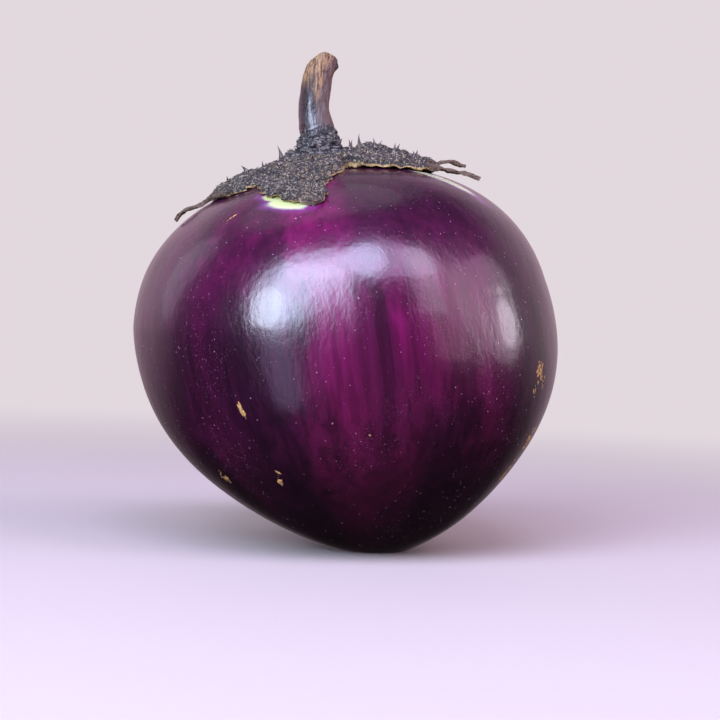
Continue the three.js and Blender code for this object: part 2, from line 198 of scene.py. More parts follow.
# Runs a tree on an object and returns the outcome as a plain mesh piece.
def growPiece(name, base, tree, sizes):
    modifier = base.modifiers.new("grow", "NODES")
    modifier.node_group = tree
    for item in tree.interface.items_tree:
        if item.in_out == "INPUT" and item.name in sizes:
            modifier[item.identifier] = sizes[item.name]
    base.update_tag()
    evaluated = base.evaluated_get(bpy.context.evaluated_depsgraph_get())
    mesh = bpy.data.meshes.new_from_object(evaluated)
    mesh.name = name
    bpy.data.objects.remove(base)
    return linkObject(name, mesh)


def meshPiece(name, points, faces):
    mesh = bpy.data.meshes.new(name)
    mesh.from_pydata([tuple(p) for p in points], [], faces)
    mesh.update()
    return linkObject(name, mesh)


# Stores a value for each of a mesh's points.
def storeLayer(piece, name, values, kind="FLOAT", key="value"):
    layer = piece.data.attributes.new(name, kind, "POINT")
    layer.data.foreach_set(key, np.array(values, dtype=np.float32).ravel())


def finishTree(tree, geometry, material, result, smooth=True):
    real = addNode(tree, "GeometryNodeRealizeInstances", inputs={"Geometry": geometry})
    inputs = {"Geometry": real.outputs[0], "Shade Smooth": smooth}
    shade = addNode(tree, "GeometryNodeSetShadeSmooth", inputs=inputs)
    inputs = {"Geometry": shade.outputs[0], "Material": material}
    dressed = addNode(tree, "GeometryNodeSetMaterial", inputs=inputs)
    tree.links.new(dressed.outputs[0], result.inputs[0])


def newMaterial(name):
    material = bpy.data.materials.new(name)
    material.use_nodes = True
    return material, material.node_tree, material.node_tree.nodes["Principled BSDF"]


# Sets the shader's inputs, and a bump where there is a relief.
def dress(tree, shader, inputs, relief=None, strength=0.0, depth=0.0):
    for name, value in inputs.items():
        feed(tree, shader.inputs[name], value)
    if relief is not None:
        inputs = {"Strength": strength, "Distance": depth, "Height": relief}
        bump = addNode(tree, "ShaderNodeBump", inputs=inputs)
        tree.links.new(bump.outputs[0], shader.inputs["Normal"])


def mixColour(tree, share, first, second, blend="MIX"):
    node = addNode(tree, "ShaderNodeMix", {"data_type": "RGBA", "blend_type": blend})
    feed(tree, node.inputs["Factor"], share)
    feed(tree, node.inputs[6], first)
    feed(tree, node.inputs[7], second)
    return node.outputs[2]


def noiseOf(tree, spot, scale, detail=3.0, roughness=0.55, distortion=0.0):
    inputs = {"Scale": scale, "Detail": detail, "Roughness": roughness, "Distortion": distortion}
    node = addNode(tree, "ShaderNodeTexNoise", inputs=inputs)
    tree.links.new(spot, node.inputs["Vector"])
    return node.outputs["Fac"]


def attributeOf(tree, name, output="Fac"):
    return addNode(tree, "ShaderNodeAttribute", {"attribute_name": name}).outputs[output]


def objectSpot(tree):
    return addNode(tree, "ShaderNodeTexCoord").outputs["Object"]


def scaled(tree, spot, x, y, z):
    return vectorCalc(tree, "MULTIPLY", spot, (x, y, z))


# Turns sRGB values of 0 to 255 into the linear colour that a shader wants.
def paint(red, green, blue):
    def linear(value):
        share = value / 255
        return share / 12.92 if share <= 0.04045 else ((share + 0.055) / 1.055) ** 2.4

    return (linear(red), linear(green), linear(blue), 1.0)


# The fruit: the same superellipse as the solid, in millimetres. Its power falls from the
# full shoulder to the tapering end.

fruit = {
    "radius": 56.65,
    "waist": 61.65,
    "shoulderRise": 45.65,
    "shoulderPower": 2.25,
    "taperDrop": 61.05,
    "taperPower": 1.7,
    "taperFullAt": -60.0,
    "shoulderFullAt": 35.0,
    "blossomDrift": 5.4,
    "driftFrom": 70.8,
    "crownDip": 1.2,
    "crownDipRadius": 9.0,
    "leanLeft": 9.2,
    "leanForward": 4.0,
    "undulation": 0.35,
    "segments": 300,
    "rings": 210,
    # latitudes between which the furrows deepen, and the share they start from
    "furrowFrom": -70,
    "furrowFullAt": 30,
    "furrowLeast": 0.25,
    # latitudes between which the undulation dies away
    "calmFrom": 35,
    "calmAt": 60,
}

# azimuth, depth and half width of the shallow furrows; a negative depth is a swelling
furrows = [
    (-92, 1.1, 12),
    (-52, 0.9, 10),
    (-20, -0.9, 24),
    (18, 0.9, 13),
    (80, 1.2, 14),
    (132, 0.9, 12),
    (205, 0.8, 13),
]


def hump(value, spread):
    return np.exp(-((value / spread) ** 2))


def smoothShare(value, low, high):
    share = np.clip((value - low) / np.where(high == low, 1, high - low), 0, 1)
    return share * share * (3 - 2 * share)


def turnBetween(a, b):
    return (a - b + 540) % 360 - 180


def skinPoint(azimuth, latitude):
    deepening = smoothShare(latitude, fruit["furrowFrom"], fruit["furrowFullAt"])
    fade = fruit["furrowLeast"] + (1 - fruit["furrowLeast"]) * deepening
    furrow = sum(depth * hump(turnBetween(azimuth, at), width) for at, depth, width in furrows)
    full = smoothShare(latitude, fruit["taperFullAt"], fruit["shoulderFullAt"])
    power = 2 / (fruit["taperPower"] + (fruit["shoulderPower"] - fruit["taperPower"]) * full)
    share = np.maximum(0, np.cos(np.radians(latitude))) ** power
    rise = np.abs(np.sin(np.radians(latitude))) ** power
    girth = share * (fruit["radius"] - fade * furrow)
    height = fruit["waist"] + np.where(latitude > 0, fruit["shoulderRise"], -fruit["taperDrop"]) * rise
    drift = fruit["blossomDrift"] * np.maximum(0, (fruit["driftFrom"] - height) / fruit["driftFrom"])
    dip = fruit["crownDip"] * hump(girth, fruit["crownDipRadius"])
    turn = np.radians(azimuth)
    return np.stack([girth * np.cos(turn) + drift, girth * np.sin(turn), height - dip], axis=-1)


# The crown's skin at a distance from the axis, and the way it faces.
def crownPoint(azimuth, radius):
    low = np.full(np.shape(radius + azimuth * 0), 10.0)
    high = np.full(np.shape(low), 90.0)
    for _ in range(34):
        middle = (low + high) / 2
        point = skinPoint(azimuth, middle)
        outside = np.hypot(point[..., 0], point[..., 1]) > radius
        low = np.where(outside, middle, low)
        high = np.where(outside, high, middle)
    return skinPoint(azimuth, low)


def crownFacing(azimuth, radius):
    step = 0.4
    turn = np.degrees(step / radius)
    outward = crownPoint(azimuth, radius + step) - crownPoint(azimuth, radius - step)
    around = crownPoint(azimuth + turn, radius) - crownPoint(azimuth - turn, radius)
    facing = np.cross(outward, around)
    return facing / np.linalg.norm(facing, axis=-1, keepdims=True)


# Where the leaning fruit stands, read from the CAD solid's own box.
def findStance():
    lean = Matrix.Rotation(math.radians(fruit["leanForward"]), 4, "X")
    lean = lean @ Matrix.Rotation(math.radians(-fruit["leanLeft"]), 4, "Y")
    azimuth, latitude = np.meshgrid(np.arange(0, 360, 1.0), np.linspace(-89.9, 89.9, 300))
    turned = skinPoint(azimuth, latitude).reshape(-1, 3) @ np.array(lean.to_3x3()).T * mm
    low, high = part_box("fruit")
    middle = (turned.min(axis=0) + turned.max(axis=0)) / 2
    there = Vector(((low[0] + high[0]) / 2, (low[1] + high[1]) / 2, high[2]))
    here = Vector((middle[0], middle[1], turned[:, 2].max()))
    return Matrix.Translation(there - here) @ lean


stance = findStance()
print("stance", [round(v / mm, 2) for v in stance.translation])


def leaned(vectors):
    return np.asarray(vectors) @ np.array(stance.to_3x3()).T


def place(points):
    return leaned(np.asarray(points) * mm) + np.array(stance.translation)


def makeFruitTree(material):
    sizes = {
        **sizesOf(fruit, "segments rings shoulderPower taperPower"),
        **sizesOf(fruit, "radius waist shoulderRise taperDrop blossomDrift driftFrom", mm),
        **sizesOf(fruit, "crownDip crownDipRadius undulation", mm),
        **sizesOf(fruit, "taperFullAt shoulderFullAt leanLeft leanForward", degree),
    }
    tree, size, result = newTree("fruitShape", sizes)
    inputs = {"Segments": size["Segments"], "Rings": size["Rings"], "Radius": 1.0}
    ball = addNode(tree, "GeometryNodeMeshUVSphere", inputs=inputs)
    outward = positionOf(tree)
    x, y, z = separate(tree, outward)
    across = calc(tree, "SQRT", plus(tree, times(tree, x, x), times(tree, y, y)))
    azimuth = calc(tree, "ARCTAN2", y, x)
    latitude = calc(tree, "ARCSINE", z)
    ends = (size["Taper Full At"], size["Shoulder Full At"], size["Taper Power"], size["Shoulder Power"])
    power = calc(tree, "DIVIDE", 2.0, remap(tree, latitude, *ends))
    share = calc(tree, "POWER", across, power)
    rise = calc(tree, "POWER", calc(tree, "ABSOLUTE", z), power)
    isUpper = calc(tree, "GREATER_THAN", z, 0.0)
    isLower = minus(tree, 1.0, isUpper)
    upward = times(tree, size["Shoulder Rise"], isUpper)
    reach = minus(tree, upward, times(tree, size["Taper Drop"], isLower))
    height = plus(tree, size["Waist"], times(tree, rise, reach))

    depth = 0.0
    for at, deep, width in furrows:
        near = bell(tree, turnFrom(tree, azimuth, at), math.radians(width))
        depth = timesPlus(tree, near, deep * mm, depth)
    ends = (fruit["furrowFrom"] * degree, fruit["furrowFullAt"] * degree, fruit["furrowLeast"])
    radius = minus(tree, size["Radius"], times(tree, depth, remap(tree, latitude, *ends)))
    girth = times(tree, share, radius)

    below = calc(tree, "DIVIDE", minus(tree, size["Drift From"], height), size["Drift From"])
    drift = times(tree, calc(tree, "MAXIMUM", below, 0.0), size["Blossom Drift"])
    dip = times(tree, bell(tree, girth, size["Crown Dip Radius"]), size["Crown Dip"])
    left = timesPlus(tree, girth, calc(tree, "COSINE", azimuth), drift)
    back = times(tree, girth, calc(tree, "SINE", azimuth))
    shaped = combine(tree, left, back, minus(tree, height, dip))

    # slow unevenness of a grown skin, gone near the crown where the calyx lies
    wave = noiseOf(tree, shaped, 34.0, 1.0, 0.4)
    calm = remap(tree, latitude, fruit["calmFrom"] * degree, fruit["calmAt"] * degree, 2.0, 0.0)
    swell = times(tree, sway(tree, wave, size["Undulation"]), calm)
    grown = vectorCalc(tree, "ADD", shaped, scaleBy(tree, outward, swell))

    # the grown place is kept for the skin's patterns, then the fruit leans and stands
    kept = storeAttribute(tree, ball.outputs["Mesh"], "grown", grown, "FLOAT_VECTOR")
    stood = readAttribute(tree, "grown", "FLOAT_VECTOR")
    leans = (("Y_AXIS", times(tree, size["Lean Left"], -1.0)), ("X_AXIS", size["Lean Forward"]))
    for axis, angle in leans:
        inputs = {"Vector": stood, "Angle": angle}
        stood = addNode(tree, "ShaderNodeVectorRotate", {"rotation_type": axis}, inputs).outputs[0]
    x, y, z = separate(tree, vectorCalc(tree, "ADD", stood, tuple(stance.translation)))
    rested = combine(tree, x, y, calc(tree, "MAXIMUM", z, 0.0))
    finishTree(tree, movePoints(tree, kept, Position=rested), material, result)
    return tree, sizes


# The skin's looks. Blots are ellipses on the crown, seen along the fruit's own axis.

skin = {
    "deep": paint(26, 5, 20),
    "violet": paint(44, 8, 32),
    "magenta": paint(82, 9, 55),
    "crimson": paint(70, 9, 42),
    # painted shade for the blossom end
    "paintedBottomShade": paint(12, 5, 8),
    "lilac": paint(122, 58, 128),
    # painted light for the shoulder
    "paintedShoulderLight": paint(88, 32, 72),
    "green": paint(166, 174, 118),
    "pale": paint(176, 184, 146),
    "speck": paint(168, 122, 148),
    "scratch": paint(128, 112, 130),
    "scar": paint(120, 92, 62),
    "roughness": 0.21,
    "coat": 0.35,
    "coatRoughness": 0.1,
    # the height that shares of the height refer to, in metres
    "fullHeight": 0.106,
    # patterns: stretch in depth and in height, then scale, detail, roughness and distortion
    "patterns": {
        "streaks": (1.0, 0.16, 120.0, 5.0, 0.62, 0.3),
        "fineStreaks": (1.0, 0.08, 420.0, 3.0, 0.6),
        "clouds": (1.0, 1.0, 38.0, 3.0),
        "ragged": (1.0, 1.0, 260.0, 3.0),
        "rub": (0.35, 1.0, 300.0, 5.0, 0.75, 0.6),
        "rubbedPlaces": (1.0, 1.0, 48.0, 2.0),
        "gathered": (1.0, 1.0, 42.0, 2.0),
        "dust": (1.0, 1.0, 2100.0, 2.0, 0.7),
        "peel": (1.0, 0.6, 1000.0, 3.0, 0.6),
        "ripples": (1.0, 0.4, 150.0, 3.0),
    },
    # corky dots: cells to a metre, share of cells without one, largest size
    "dots": [(300.0, 0.87, 0.06), (720.0, 0.74, 0.14), (1050.0, 0.7, 0.2)],
    # how far a band takes to begin or end, as a share of the height
    "bandFade": 0.1,
    # how far the streaks push a band sideways, in radians
    "wander": 0.22,
    # heights between which the crown begins, and the blossom scar's outer and inner radius,
    # in metres
    "crownFrom": (0.09, 0.094),
    "scarEdge": (0.0042, 0.003),
    # each blot: place to the left and in front, half length, half width, turn
    "greenBlots": [(-9.0, -33.4, 5.2, 2.4, -27), (-12.6, -29.6, 4.4, 1.7, -48)],
    "paleBlots": [(30.8, -11.2, 9.0, 2.4, -21), (-9.0, -34.1, 5.2, 2.2, -27)],
    # each band: azimuth, half width, strength, and the heights it lies between as shares
    "brightBands": [
        (-88, 7.5, 1.0, -1, 2),
        (-98, 5.0, 0.5, -1, 2),
        (-98, 6.0, 0.9, 0.76, 2),
        (-62, 9.0, 0.9, 0.42, 0.8),
        (-48, 7.0, 0.5, 0.3, 0.8),
        (-73, 6.0, 0.75, -1, 0.8),
        (-128, 7.0, 0.2, -1, 2),
        (-116, 14.0, 0.35, 0.7, 0.95),
        (-150, 12.0, 0.2, -1, 2),
        (20, 25.0, 0.3, -1, 2),
        (70, 18.0, 0.35, -1, 2),
        (120, 30.0, 0.5, -1, 2),
        (165, 14.0, 0.3, -1, 2),
    ],
    "darkBands": [
        (-79, 1.6, 0.4, 0.3, 0.8),
        (-66, 11.0, 0.45, -1, 0.55),
        (-70, 9.0, 0.7, 0.8, 2),
        (-64, 8.0, 0.7, -1, 0.34),
        (-112, 7.0, 0.75, -1, 0.66),
        (-138, 7.0, 0.4, -1, 2),
        (-28, 12.0, 0.3, -1, 2),
        (96, 10.0, 0.6, -1, 2),
        (48, 9.0, 0.4, -1, 2),
        (148, 8.0, 0.4, -1, 2),
    ],
}


def makeSkin():
    material, tree, shader = newMaterial("eggplantSkin")
    grown = attributeOf(tree, "grown", "Vector")
    x, y, z = separate(tree, grown)
    azimuth = calc(tree, "ARCTAN2", y, x)
    height = calc(tree, "DIVIDE", z, skin["fullHeight"])

    def pattern(name):
        deep, high, *numbers = skin["patterns"][name]
        return noiseOf(tree, scaled(tree, grown, 1.0, deep, high), *numbers)

    streaks = pattern("streaks")
    clouds = pattern("clouds")
    wandered = sway(tree, streaks, skin["wander"], azimuth)

    def bands(places):
        total = 0.0
        fade = skin["bandFade"]
        for at, width, strength, start, end in places:
            share = bell(tree, turnFrom(tree, wandered, at), math.radians(width))
            if start > 0:
                share = times(tree, share, remap(tree, height, start - fade, start + fade))
            if end < 1:
                share = times(tree, share, remap(tree, height, end + fade, end - fade))
            total = timesPlus(tree, share, strength, total)
        return total

    bright = times(tree, bands(skin["brightBands"]), remap(tree, streaks, 0.3, 0.62, 0.5, 1.0))
    dark = times(tree, bands(skin["darkBands"]), remap(tree, streaks, 0.66, 0.36, 0.4, 1.0))
    colour = mixColour(tree, remap(tree, streaks, 0.36, 0.66), skin["deep"], skin["violet"])
    glow = mixColour(tree, remap(tree, height, 0.75, 0.3), skin["magenta"], skin["crimson"])
    colour = mixColour(tree, calc(tree, "MINIMUM", bright, 1.0), colour, glow)
    colour = mixColour(tree, calc(tree, "MINIMUM", dark, 0.85), colour, skin["deep"])
    fine = remap(tree, pattern("fineStreaks"), 0.3, 0.7, 0.7, 1.25)
    tint = addNode(tree, "ShaderNodeCombineColor", inputs={"Red": fine, "Green": fine, "Blue": fine})
    colour = mixColour(tree, 1.0, colour, tint.outputs[0], "MULTIPLY")

    # painted shade: nearly black towards the blossom end; painted light: paler and bluer on the shoulder
    low = sway(tree, clouds, 0.25, height)
    colour = mixColour(tree, remap(tree, low, 0.45, 0.05, 0.0, 0.85), colour, skin["paintedBottomShade"])
    colour = mixColour(tree, remap(tree, low, 0.62, 0.86, 0.0, 0.1), colour, skin["paintedShoulderLight"])

    # the skin that grew in the shade under the calyx stayed green, with a lilac fringe
    ragged = sway(tree, pattern("ragged"), 0.7)
    isCrown = remap(tree, z, *skin["crownFrom"])

    def blots(places, inner, outer):
        total = 0.0
        for left, front, length, width, turn in places:
            inputs = {
                "Vector": grown,
                "Location": (left * mm, front * mm, 0),
                "Rotation": (0, 0, math.radians(turn)),
                "Scale": (length * mm, width * mm, 1e6),
            }
            mapping = addNode(tree, "ShaderNodeMapping", {"vector_type": "TEXTURE"}, inputs)
            away = plus(tree, vectorCalc(tree, "LENGTH", mapping.outputs[0]), ragged)
            total = calc(tree, "MAXIMUM", remap(tree, away, outer, inner), total)
        return times(tree, total, isCrown)

    fringe = times(tree, blots(skin["greenBlots"] + skin["paleBlots"], 0.9, 1.9), 0.5)
    colour = mixColour(tree, fringe, colour, skin["lilac"])
    colour = mixColour(tree, blots(skin["paleBlots"], 0.7, 1.25), colour, skin["pale"])
    colour = mixColour(tree, blots(skin["greenBlots"], 0.72, 1.15), colour, skin["green"])

    # faint rubbed patches and short scratches on the shoulder
    where = remap(tree, pattern("rubbedPlaces"), 0.54, 0.66)
    rubbed = times(tree, remap(tree, pattern("rub"), 0.64, 0.74, 0.0, 0.22), where)
    colour = mixColour(tree, rubbed, colour, skin["scratch"])

    # tiny corky dots, more of them on the shoulder
    dots = 0.0
    crowded = timesPlus(tree, where, 0.7, height)
    for scale, rare, size in skin["dots"]:
        inputs = {"Vector": grown, "Scale": scale, "Randomness": 1.0}
        cells = addNode(tree, "ShaderNodeTexVoronoi", inputs=inputs).outputs
        lucky = addNode(tree, "ShaderNodeSeparateColor", inputs={"Color": cells["Color"]}).outputs
        isDot = calc(tree, "GREATER_THAN", lucky[0], remap(tree, crowded, 0.0, 1.4, 0.9, rare))
        dotSize = timesPlus(tree, lucky[1], size, 0.04)
        dot = times(tree, remap(tree, cells["Distance"], dotSize, 0.03), isDot)
        dots = calc(tree, "MAXIMUM", times(tree, dot, remap(tree, lucky[2], 0, 1, 0.4, 1.0)), dots)
    colour = mixColour(tree, times(tree, dots, 0.8), colour, skin["speck"])

    # and a fine pale dust in clusters
    gathered = remap(tree, pattern("gathered"), 0.52, 0.68)
    dust = remap(tree, pattern("dust"), 0.63, 0.72, 0.0, 0.32)
    colour = mixColour(tree, times(tree, dust, gathered), colour, skin["speck"])

    # the dry scar where the flower was
    scarAway = vectorCalc(tree, "DISTANCE", grown, tuple(skinPoint(0.0, -90.0) * mm))
    scar = remap(tree, timesPlus(tree, ragged, 0.002, scarAway), *skin["scarEdge"])
    colour = mixColour(tree, scar, colour, skin["scar"])

    rough = timesPlus(tree, calc(tree, "MAXIMUM", dots, scar), 0.4, skin["roughness"])
    inputs = {
        "Base Color": colour,
        "Roughness": timesPlus(tree, clouds, 0.06, rough),
        "IOR": 1.45,
        "Coat Weight": skin["coat"],
        "Coat Roughness": skin["coatRoughness"],
    }
    relief = timesPlus(tree, dots, 0.5, times(tree, pattern("peel"), 1.3))
    relief = timesPlus(tree, pattern("ripples"), 4.0, relief)
    dress(tree, shader, inputs, relief, 0.3, 0.0002)
    return material


fruitBase = meshPiece("fruitBase", [], [])
fruitPiece = growPiece("fruit_skin", fruitBase, *makeFruitTree(makeSkin()))
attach(fruitPiece, "root")
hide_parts("fruit")
print("fruit", len(fruitPiece.data.polygons), "faces")


# The calyx: the same sepals as the solid, finer, with torn margins and a felted top.

calyx = {
    "clearance": 0.05,
    "rows": [10.5, 12.5, 15, 17.5, 20, 22.5, 25, 27.5],
    "rowSteps": 4,
    "ownRows": 34,
    "columns": 44,
    "rootThickness": 3.9,
    "endThickness": 2.3,
    "tailThickness": 0.95,
    "marginShare": 0.3,
    "archPower": 2.2,
    "crinkle": 0.28,
    "raggedness": 0.07,
    "wrinkle": 0.55,
    "grain": 0.2,
    # the collar's outline, as radius and height
    "collar": [(4.2, 117.2), (4.6, 117.1), (4.9, 116.3), (5.25, 114.9), (5.7, 113), (6.3, 111.7)]
    + [(7.6, 111), (8.6, 110.8), (9.6, 110.6)],
    "collarStep": 0.2,
    # heights between which the bare bark of the collar begins
    "barkFrom": (110.8, 111.3),
    # a fold stands up beside the collar: its azimuth, radius, height and spread
    "fold": (200, 8.7, 2.2, 1.9),
    # the hole for the stem: its radius, and how far its two ends lie inside
    "bore": 4.1,
    "boreRise": 0.2,
    "boreDrop": 0.3,
    "collarWrinkle": 0.14,
    "collarWave": 0.12,
    # a swelling on the collar's left: its size and spread, and the heights it lies between
    "leftSwell": 0.5,
    "leftSwellSpread": 70,
    "leftSwellHeights": (116.8, 114.5),
    # how wide a blade's free part takes to come away from its neighbour
    "joinWidth": 4,
    # shares of the half width from which a free margin curls and turns to straw
    "curlFrom": 0.55,
    "marginFrom": 0.86,
    "curl": (0.25, 0.3),
    # how much of a margin's straw shows on top, and how dry the creased sepal's tip is
    "strawOnTop": 0.3,
    "creasedDryness": 0.25,
    "sharpFrom": 58,
    # the veins: height, waves across, and the radii between which they rise
    "vein": 0.16,
    "veinWaves": 9.0,
    "veinStart": (13, 20),
    # dry tails: kink, twist, swelling and how much slimmer their tips are
    "tailKink": 0.12,
    "tailTwist": 0.3,
    "tailSwell": 0.12,
    "tailSlimming": 0.62,
    # radii between which the midrib and the edge grow thin
    "midribThins": (12, 30),
    "edgeThins": (12, 20),
    # the seams: depth and spread, the share, place and spread of their lips, where they start
    "seam": 1.1,
    "seamSpread": 0.8,
    "seamLips": (0.35, 1.9, 1.1),
    "seamStart": (10.5, 13),
    # the crease of the front sepal: two points of it as left and front, its depth and spread,
    # and the share, place and spread of the ridge beside it
    "crease": [(-12.5, -31.0), (9.5, -21.5), 0.55, 0.7],
    "creaseRidge": (0.5, 1.6, 1.2),
}

# between the sepals: each gap's azimuth and the row it is open from
gaps = {
    "frontRight": (-63, 1),
    "rightFork": (-6, 7),
    "backRight": (32, 3),
    "back": (92, 4),
    "backLeft": (150, 3),
    "frontLeft": (229, 5),
}

# each sepal: the gaps it lies between, its line as radius, azimuth and height off the skin,
# the radius where its blade ends, how full each side is, and its tail's half width
sepals = [
    {
        "between": ("frontRight", "rightFork"),
        "line": [(10, -34, 0.2), (20, -25, 0.5), (28, -13, 0.7), (31.2, -7, 1.2), (34.4, -5, 1.85)]
        + [(37.3, -5, 2.6), (40, -6, 2.9)],
        "bladeEnd": 31,
        "fullness": (1.1, 1),
        "tail": 1.35,
    },
    {
        "between": ("rightFork", "backRight"),
        "line": [(10, 12, 0.2), (20, 11, 0.6), (27, 7, 1.2), (29.1, 6, 2.1), (30.8, 5, 3.1)]
        + [(32.4, 4, 4.0), (34.4, 4, 4.4), (36.3, 5, 4.5)],
        "bladeEnd": 29,
        "fullness": (1, 0.8),
        "tail": 1.35,
    },
    {
        "between": ("backRight", "back"),
        "line": [(10, 62, 0), (24, 60, 0.4), (32, 57, 1.2), (37, 54, 2.6), (40, 51, 2.4)],
        "bladeEnd": 35,
        "fullness": (1.2, 1),
        "tail": 1.3,
    },
    {
        "between": ("back", "backLeft"),
        "line": [(10, 121, 0), (24, 122, 0.3), (32, 126, 0.9), (37, 130, 1.6), (41, 133, 3.0)],
        "bladeEnd": 35,
        "fullness": (1, 1.3),
        "tail": 1.3,
    },
    {
        "between": ("backLeft", "frontLeft"),
        "line": [(10, 188, 0), (22, 191, 0.3), (28.5, 192, 0.2), (33.4, 188, 0.6), (35.8, 186, 1.2)]
        + [(38.2, 185, 1.8), (40, 184, 1.3)],
        "bladeEnd": 31,
        "fullness": (1.2, 1.4),
        "tail": 1.3,
    },
    {
        "between": ("frontLeft", "frontRight"),
        "line": [(10, 257, 0), (20, 259, 0.2), (26, 256, 0.2), (30.5, 258, 0.2), (33.5, 262.5, 0.3)]
        + [(37.2, 267, 0.4)],
        "bladeEnd": 37,
        "fullness": (1.8, 3.3),
        "tail": 0.6,
        "creased": True,
    },
]

# azimuth, radius, height and spread of the fleshy swellings
swellings = [
    (200, 9.2, 1.6, 2.0),
    (189, 15.2, -2.1, 3.2),
    (-6, 12.5, 2, 5.5),
    (4, 20, 0.9, 5),
    (60, 13, 1.6, 5),
    (118, 14, 1.4, 5),
    (-96, 17, 0.6, 5),
]


# A smooth value through the points of a line.
def through(line, column, position):
    at = np.array([point[0] for point in line], float)
    value = np.array([point[column] for point in line], float)
    position = np.clip(position, at[0], at[-1])
    i = np.clip(np.searchsorted(at, position, side="right") - 1, 0, len(at) - 2)
    before = np.maximum(i - 1, 0)
    after = np.minimum(i + 2, len(at) - 1)
    span = at[i + 1] - at[i]
    share = (position - at[i]) / span
    leave = (value[i + 1] - value[before]) / (at[i + 1] - at[before]) * span
    arrive = (value[after] - value[i]) / (at[after] - at[i]) * span
    square = share**2
    cube = share**3
    start = (2 * cube - 3 * square + 1) * value[i] + (cube - 2 * square + share) * leave
    return start + (3 * square - 2 * cube) * value[i + 1] + (cube - square) * arrive


def tailShare(sepal, radius):
    start = max(sepal["bladeEnd"] - 4, calyx["rows"][-1])
    return smoothShare(radius, start, sepal["bladeEnd"] + 1.5)


def asideFrom(azimuth, at, radius):
    return np.radians(turnBetween(azimuth, at)) * radius


def bladeThickness(sepal, azimuth, radius, across):
    tail = tailShare(sepal, radius)
    along = smoothShare(radius, *calyx["midribThins"])
    body = calyx["rootThickness"] + (calyx["endThickness"] - calyx["rootThickness"]) * along
    midrib = body + (calyx["tailThickness"] - body) * tail
    edge = 1 + (calyx["marginShare"] - 1) * smoothShare(radius, *calyx["edgeThins"])
    arch = 1 + (edge - 1) * np.abs(across) ** calyx["archPower"]
    turn = np.radians(azimuth)
    crinkle = calyx["crinkle"] * np.sin(radius * 1.15 + 12 * turn) * np.sin(19 * turn - radius * 0.4)
    swelling = 0
    for at, far, high, spread in swellings:
        near = hump(asideFrom(azimuth, at, radius), spread)
        swelling = swelling + high * near * hump(radius - far, spread)
    # a seam runs in from each gap, down to the collar
    seam = 0
    share, lipAt, lipSpread = calyx["seamLips"]
    for at, _ in gaps.values():
        sideways = np.abs(asideFrom(azimuth, at, radius))
        seam = seam + hump(sideways, calyx["seamSpread"]) - share * hump(sideways - lipAt, lipSpread)
    seam = seam * calyx["seam"] * smoothShare(radius, *calyx["seamStart"])
    return midrib * arch + (crinkle + swelling - seam) * (1 - tail)


def halfAngle(sepal, side, radius):
    gapAzimuth, gapRow = gaps[sepal["between"][side]]
    gapRadius = calyx["rows"][gapRow]
    inner = np.abs(turnBetween(gapAzimuth, through(sepal["line"], 1, radius)))
    along = np.clip((radius - gapRadius) / (sepal["bladeEnd"] - gapRadius), 0, 1)
    atGap = float(through(sepal["line"], 1, np.array(gapRadius)))
    full = abs(asideFrom(gapAzimuth, atGap, gapRadius))
    ragged = 1 + calyx["raggedness"] * np.sin(radius * 2.3 + gapAzimuth)
    torn = 0.05 * np.sin(radius * 6.1 + gapAzimuth * 2) + 0.03 * np.sin(radius * 11.7 + gapAzimuth)
    shape = np.sqrt(np.maximum(0, 1 - along ** sepal["fullness"][side]))
    tip = sepal["line"][-1][0]
    tail = sepal["tail"] * (1 - calyx["tailSlimming"] * smoothShare(radius, sepal["bladeEnd"], tip))
    outer = np.degrees(np.maximum(full * shape * (ragged + torn), tail) / radius)
    return np.where(radius <= gapRadius, inner, outer)


def acrossAzimuth(sepal, radius, across):
    half = np.where(across < 0, halfAngle(sepal, 0, radius), halfAngle(sepal, 1, radius))
    return through(sepal["line"], 1, radius) + across * half


def bladeFaces(sepal, radius, across):
    azimuth = acrossAzimuth(sepal, radius, across)
    skinAt = crownPoint(azimuth, radius)
    facing = crownFacing(azimuth, radius)
    gapRadii = [calyx["rows"][gaps[name][1]] for name in sepal["between"]]
    gapRadius = np.where(across < 0, gapRadii[0], gapRadii[1])
    joined = 1 - smoothShare(radius, gapRadius, gapRadius + calyx["joinWidth"])
    lift = through(sepal["line"], 2, radius) * (1 - joined * smoothShare(np.abs(across), 0.2, 1))
    # free margins curl up a little and roll, unevenly
    free = (1 - joined) * smoothShare(np.abs(across), calyx["curlFrom"], 1)
    least, varies = calyx["curl"]
    curl = free * (least + varies * np.sin(radius * 1.7 + np.radians(azimuth) * 9))
    under = calyx["clearance"] + lift + curl
    margin = (1 - joined) * smoothShare(np.abs(across), calyx["marginFrom"], 1)
    tail = tailShare(sepal, radius)
    veins = calyx["vein"] * np.cos(across * calyx["veinWaves"] + 0.6 * np.sin(radius * 0.5))
    veins = veins * smoothShare(radius, *calyx["veinStart"]) * (1 - margin) * (1 - tail)
    thickness = bladeThickness(sepal, azimuth, radius, across) + veins
    # dry tails twist and kink
    kink = calyx["tailKink"] * np.sin(radius * 1.3 + sepal["tail"] * 3)
    twist = calyx["tailTwist"] * across * np.sin(radius * 0.7)
    thickness = thickness + tail * calyx["tailSwell"] * np.sin(radius * 2.1) * (1 - across**2)
    under = np.maximum(under + tail * (kink + twist), calyx["clearance"])
    # the front sepal is folded along a crease, and sags below it
    if sepal.get("creased"):
        (x0, y0), (x1, y1), deep, spread = calyx["crease"]
        share, ridgeAt, ridgeSpread = calyx["creaseRidge"]
        length = math.hypot(x1 - x0, y1 - y0)
        beyond = ((x1 - x0) * (skinAt[..., 1] - y0) - (y1 - y0) * (skinAt[..., 0] - x0)) / length
        groove = hump(beyond, spread) - share * hump(beyond - ridgeAt, ridgeSpread)
        thickness = thickness - deep * groove * (1 - np.abs(across) ** 4)
    low = skinAt + facing * under[..., None]
    high = skinAt + facing * (under + thickness)[..., None]
    return low, high, margin


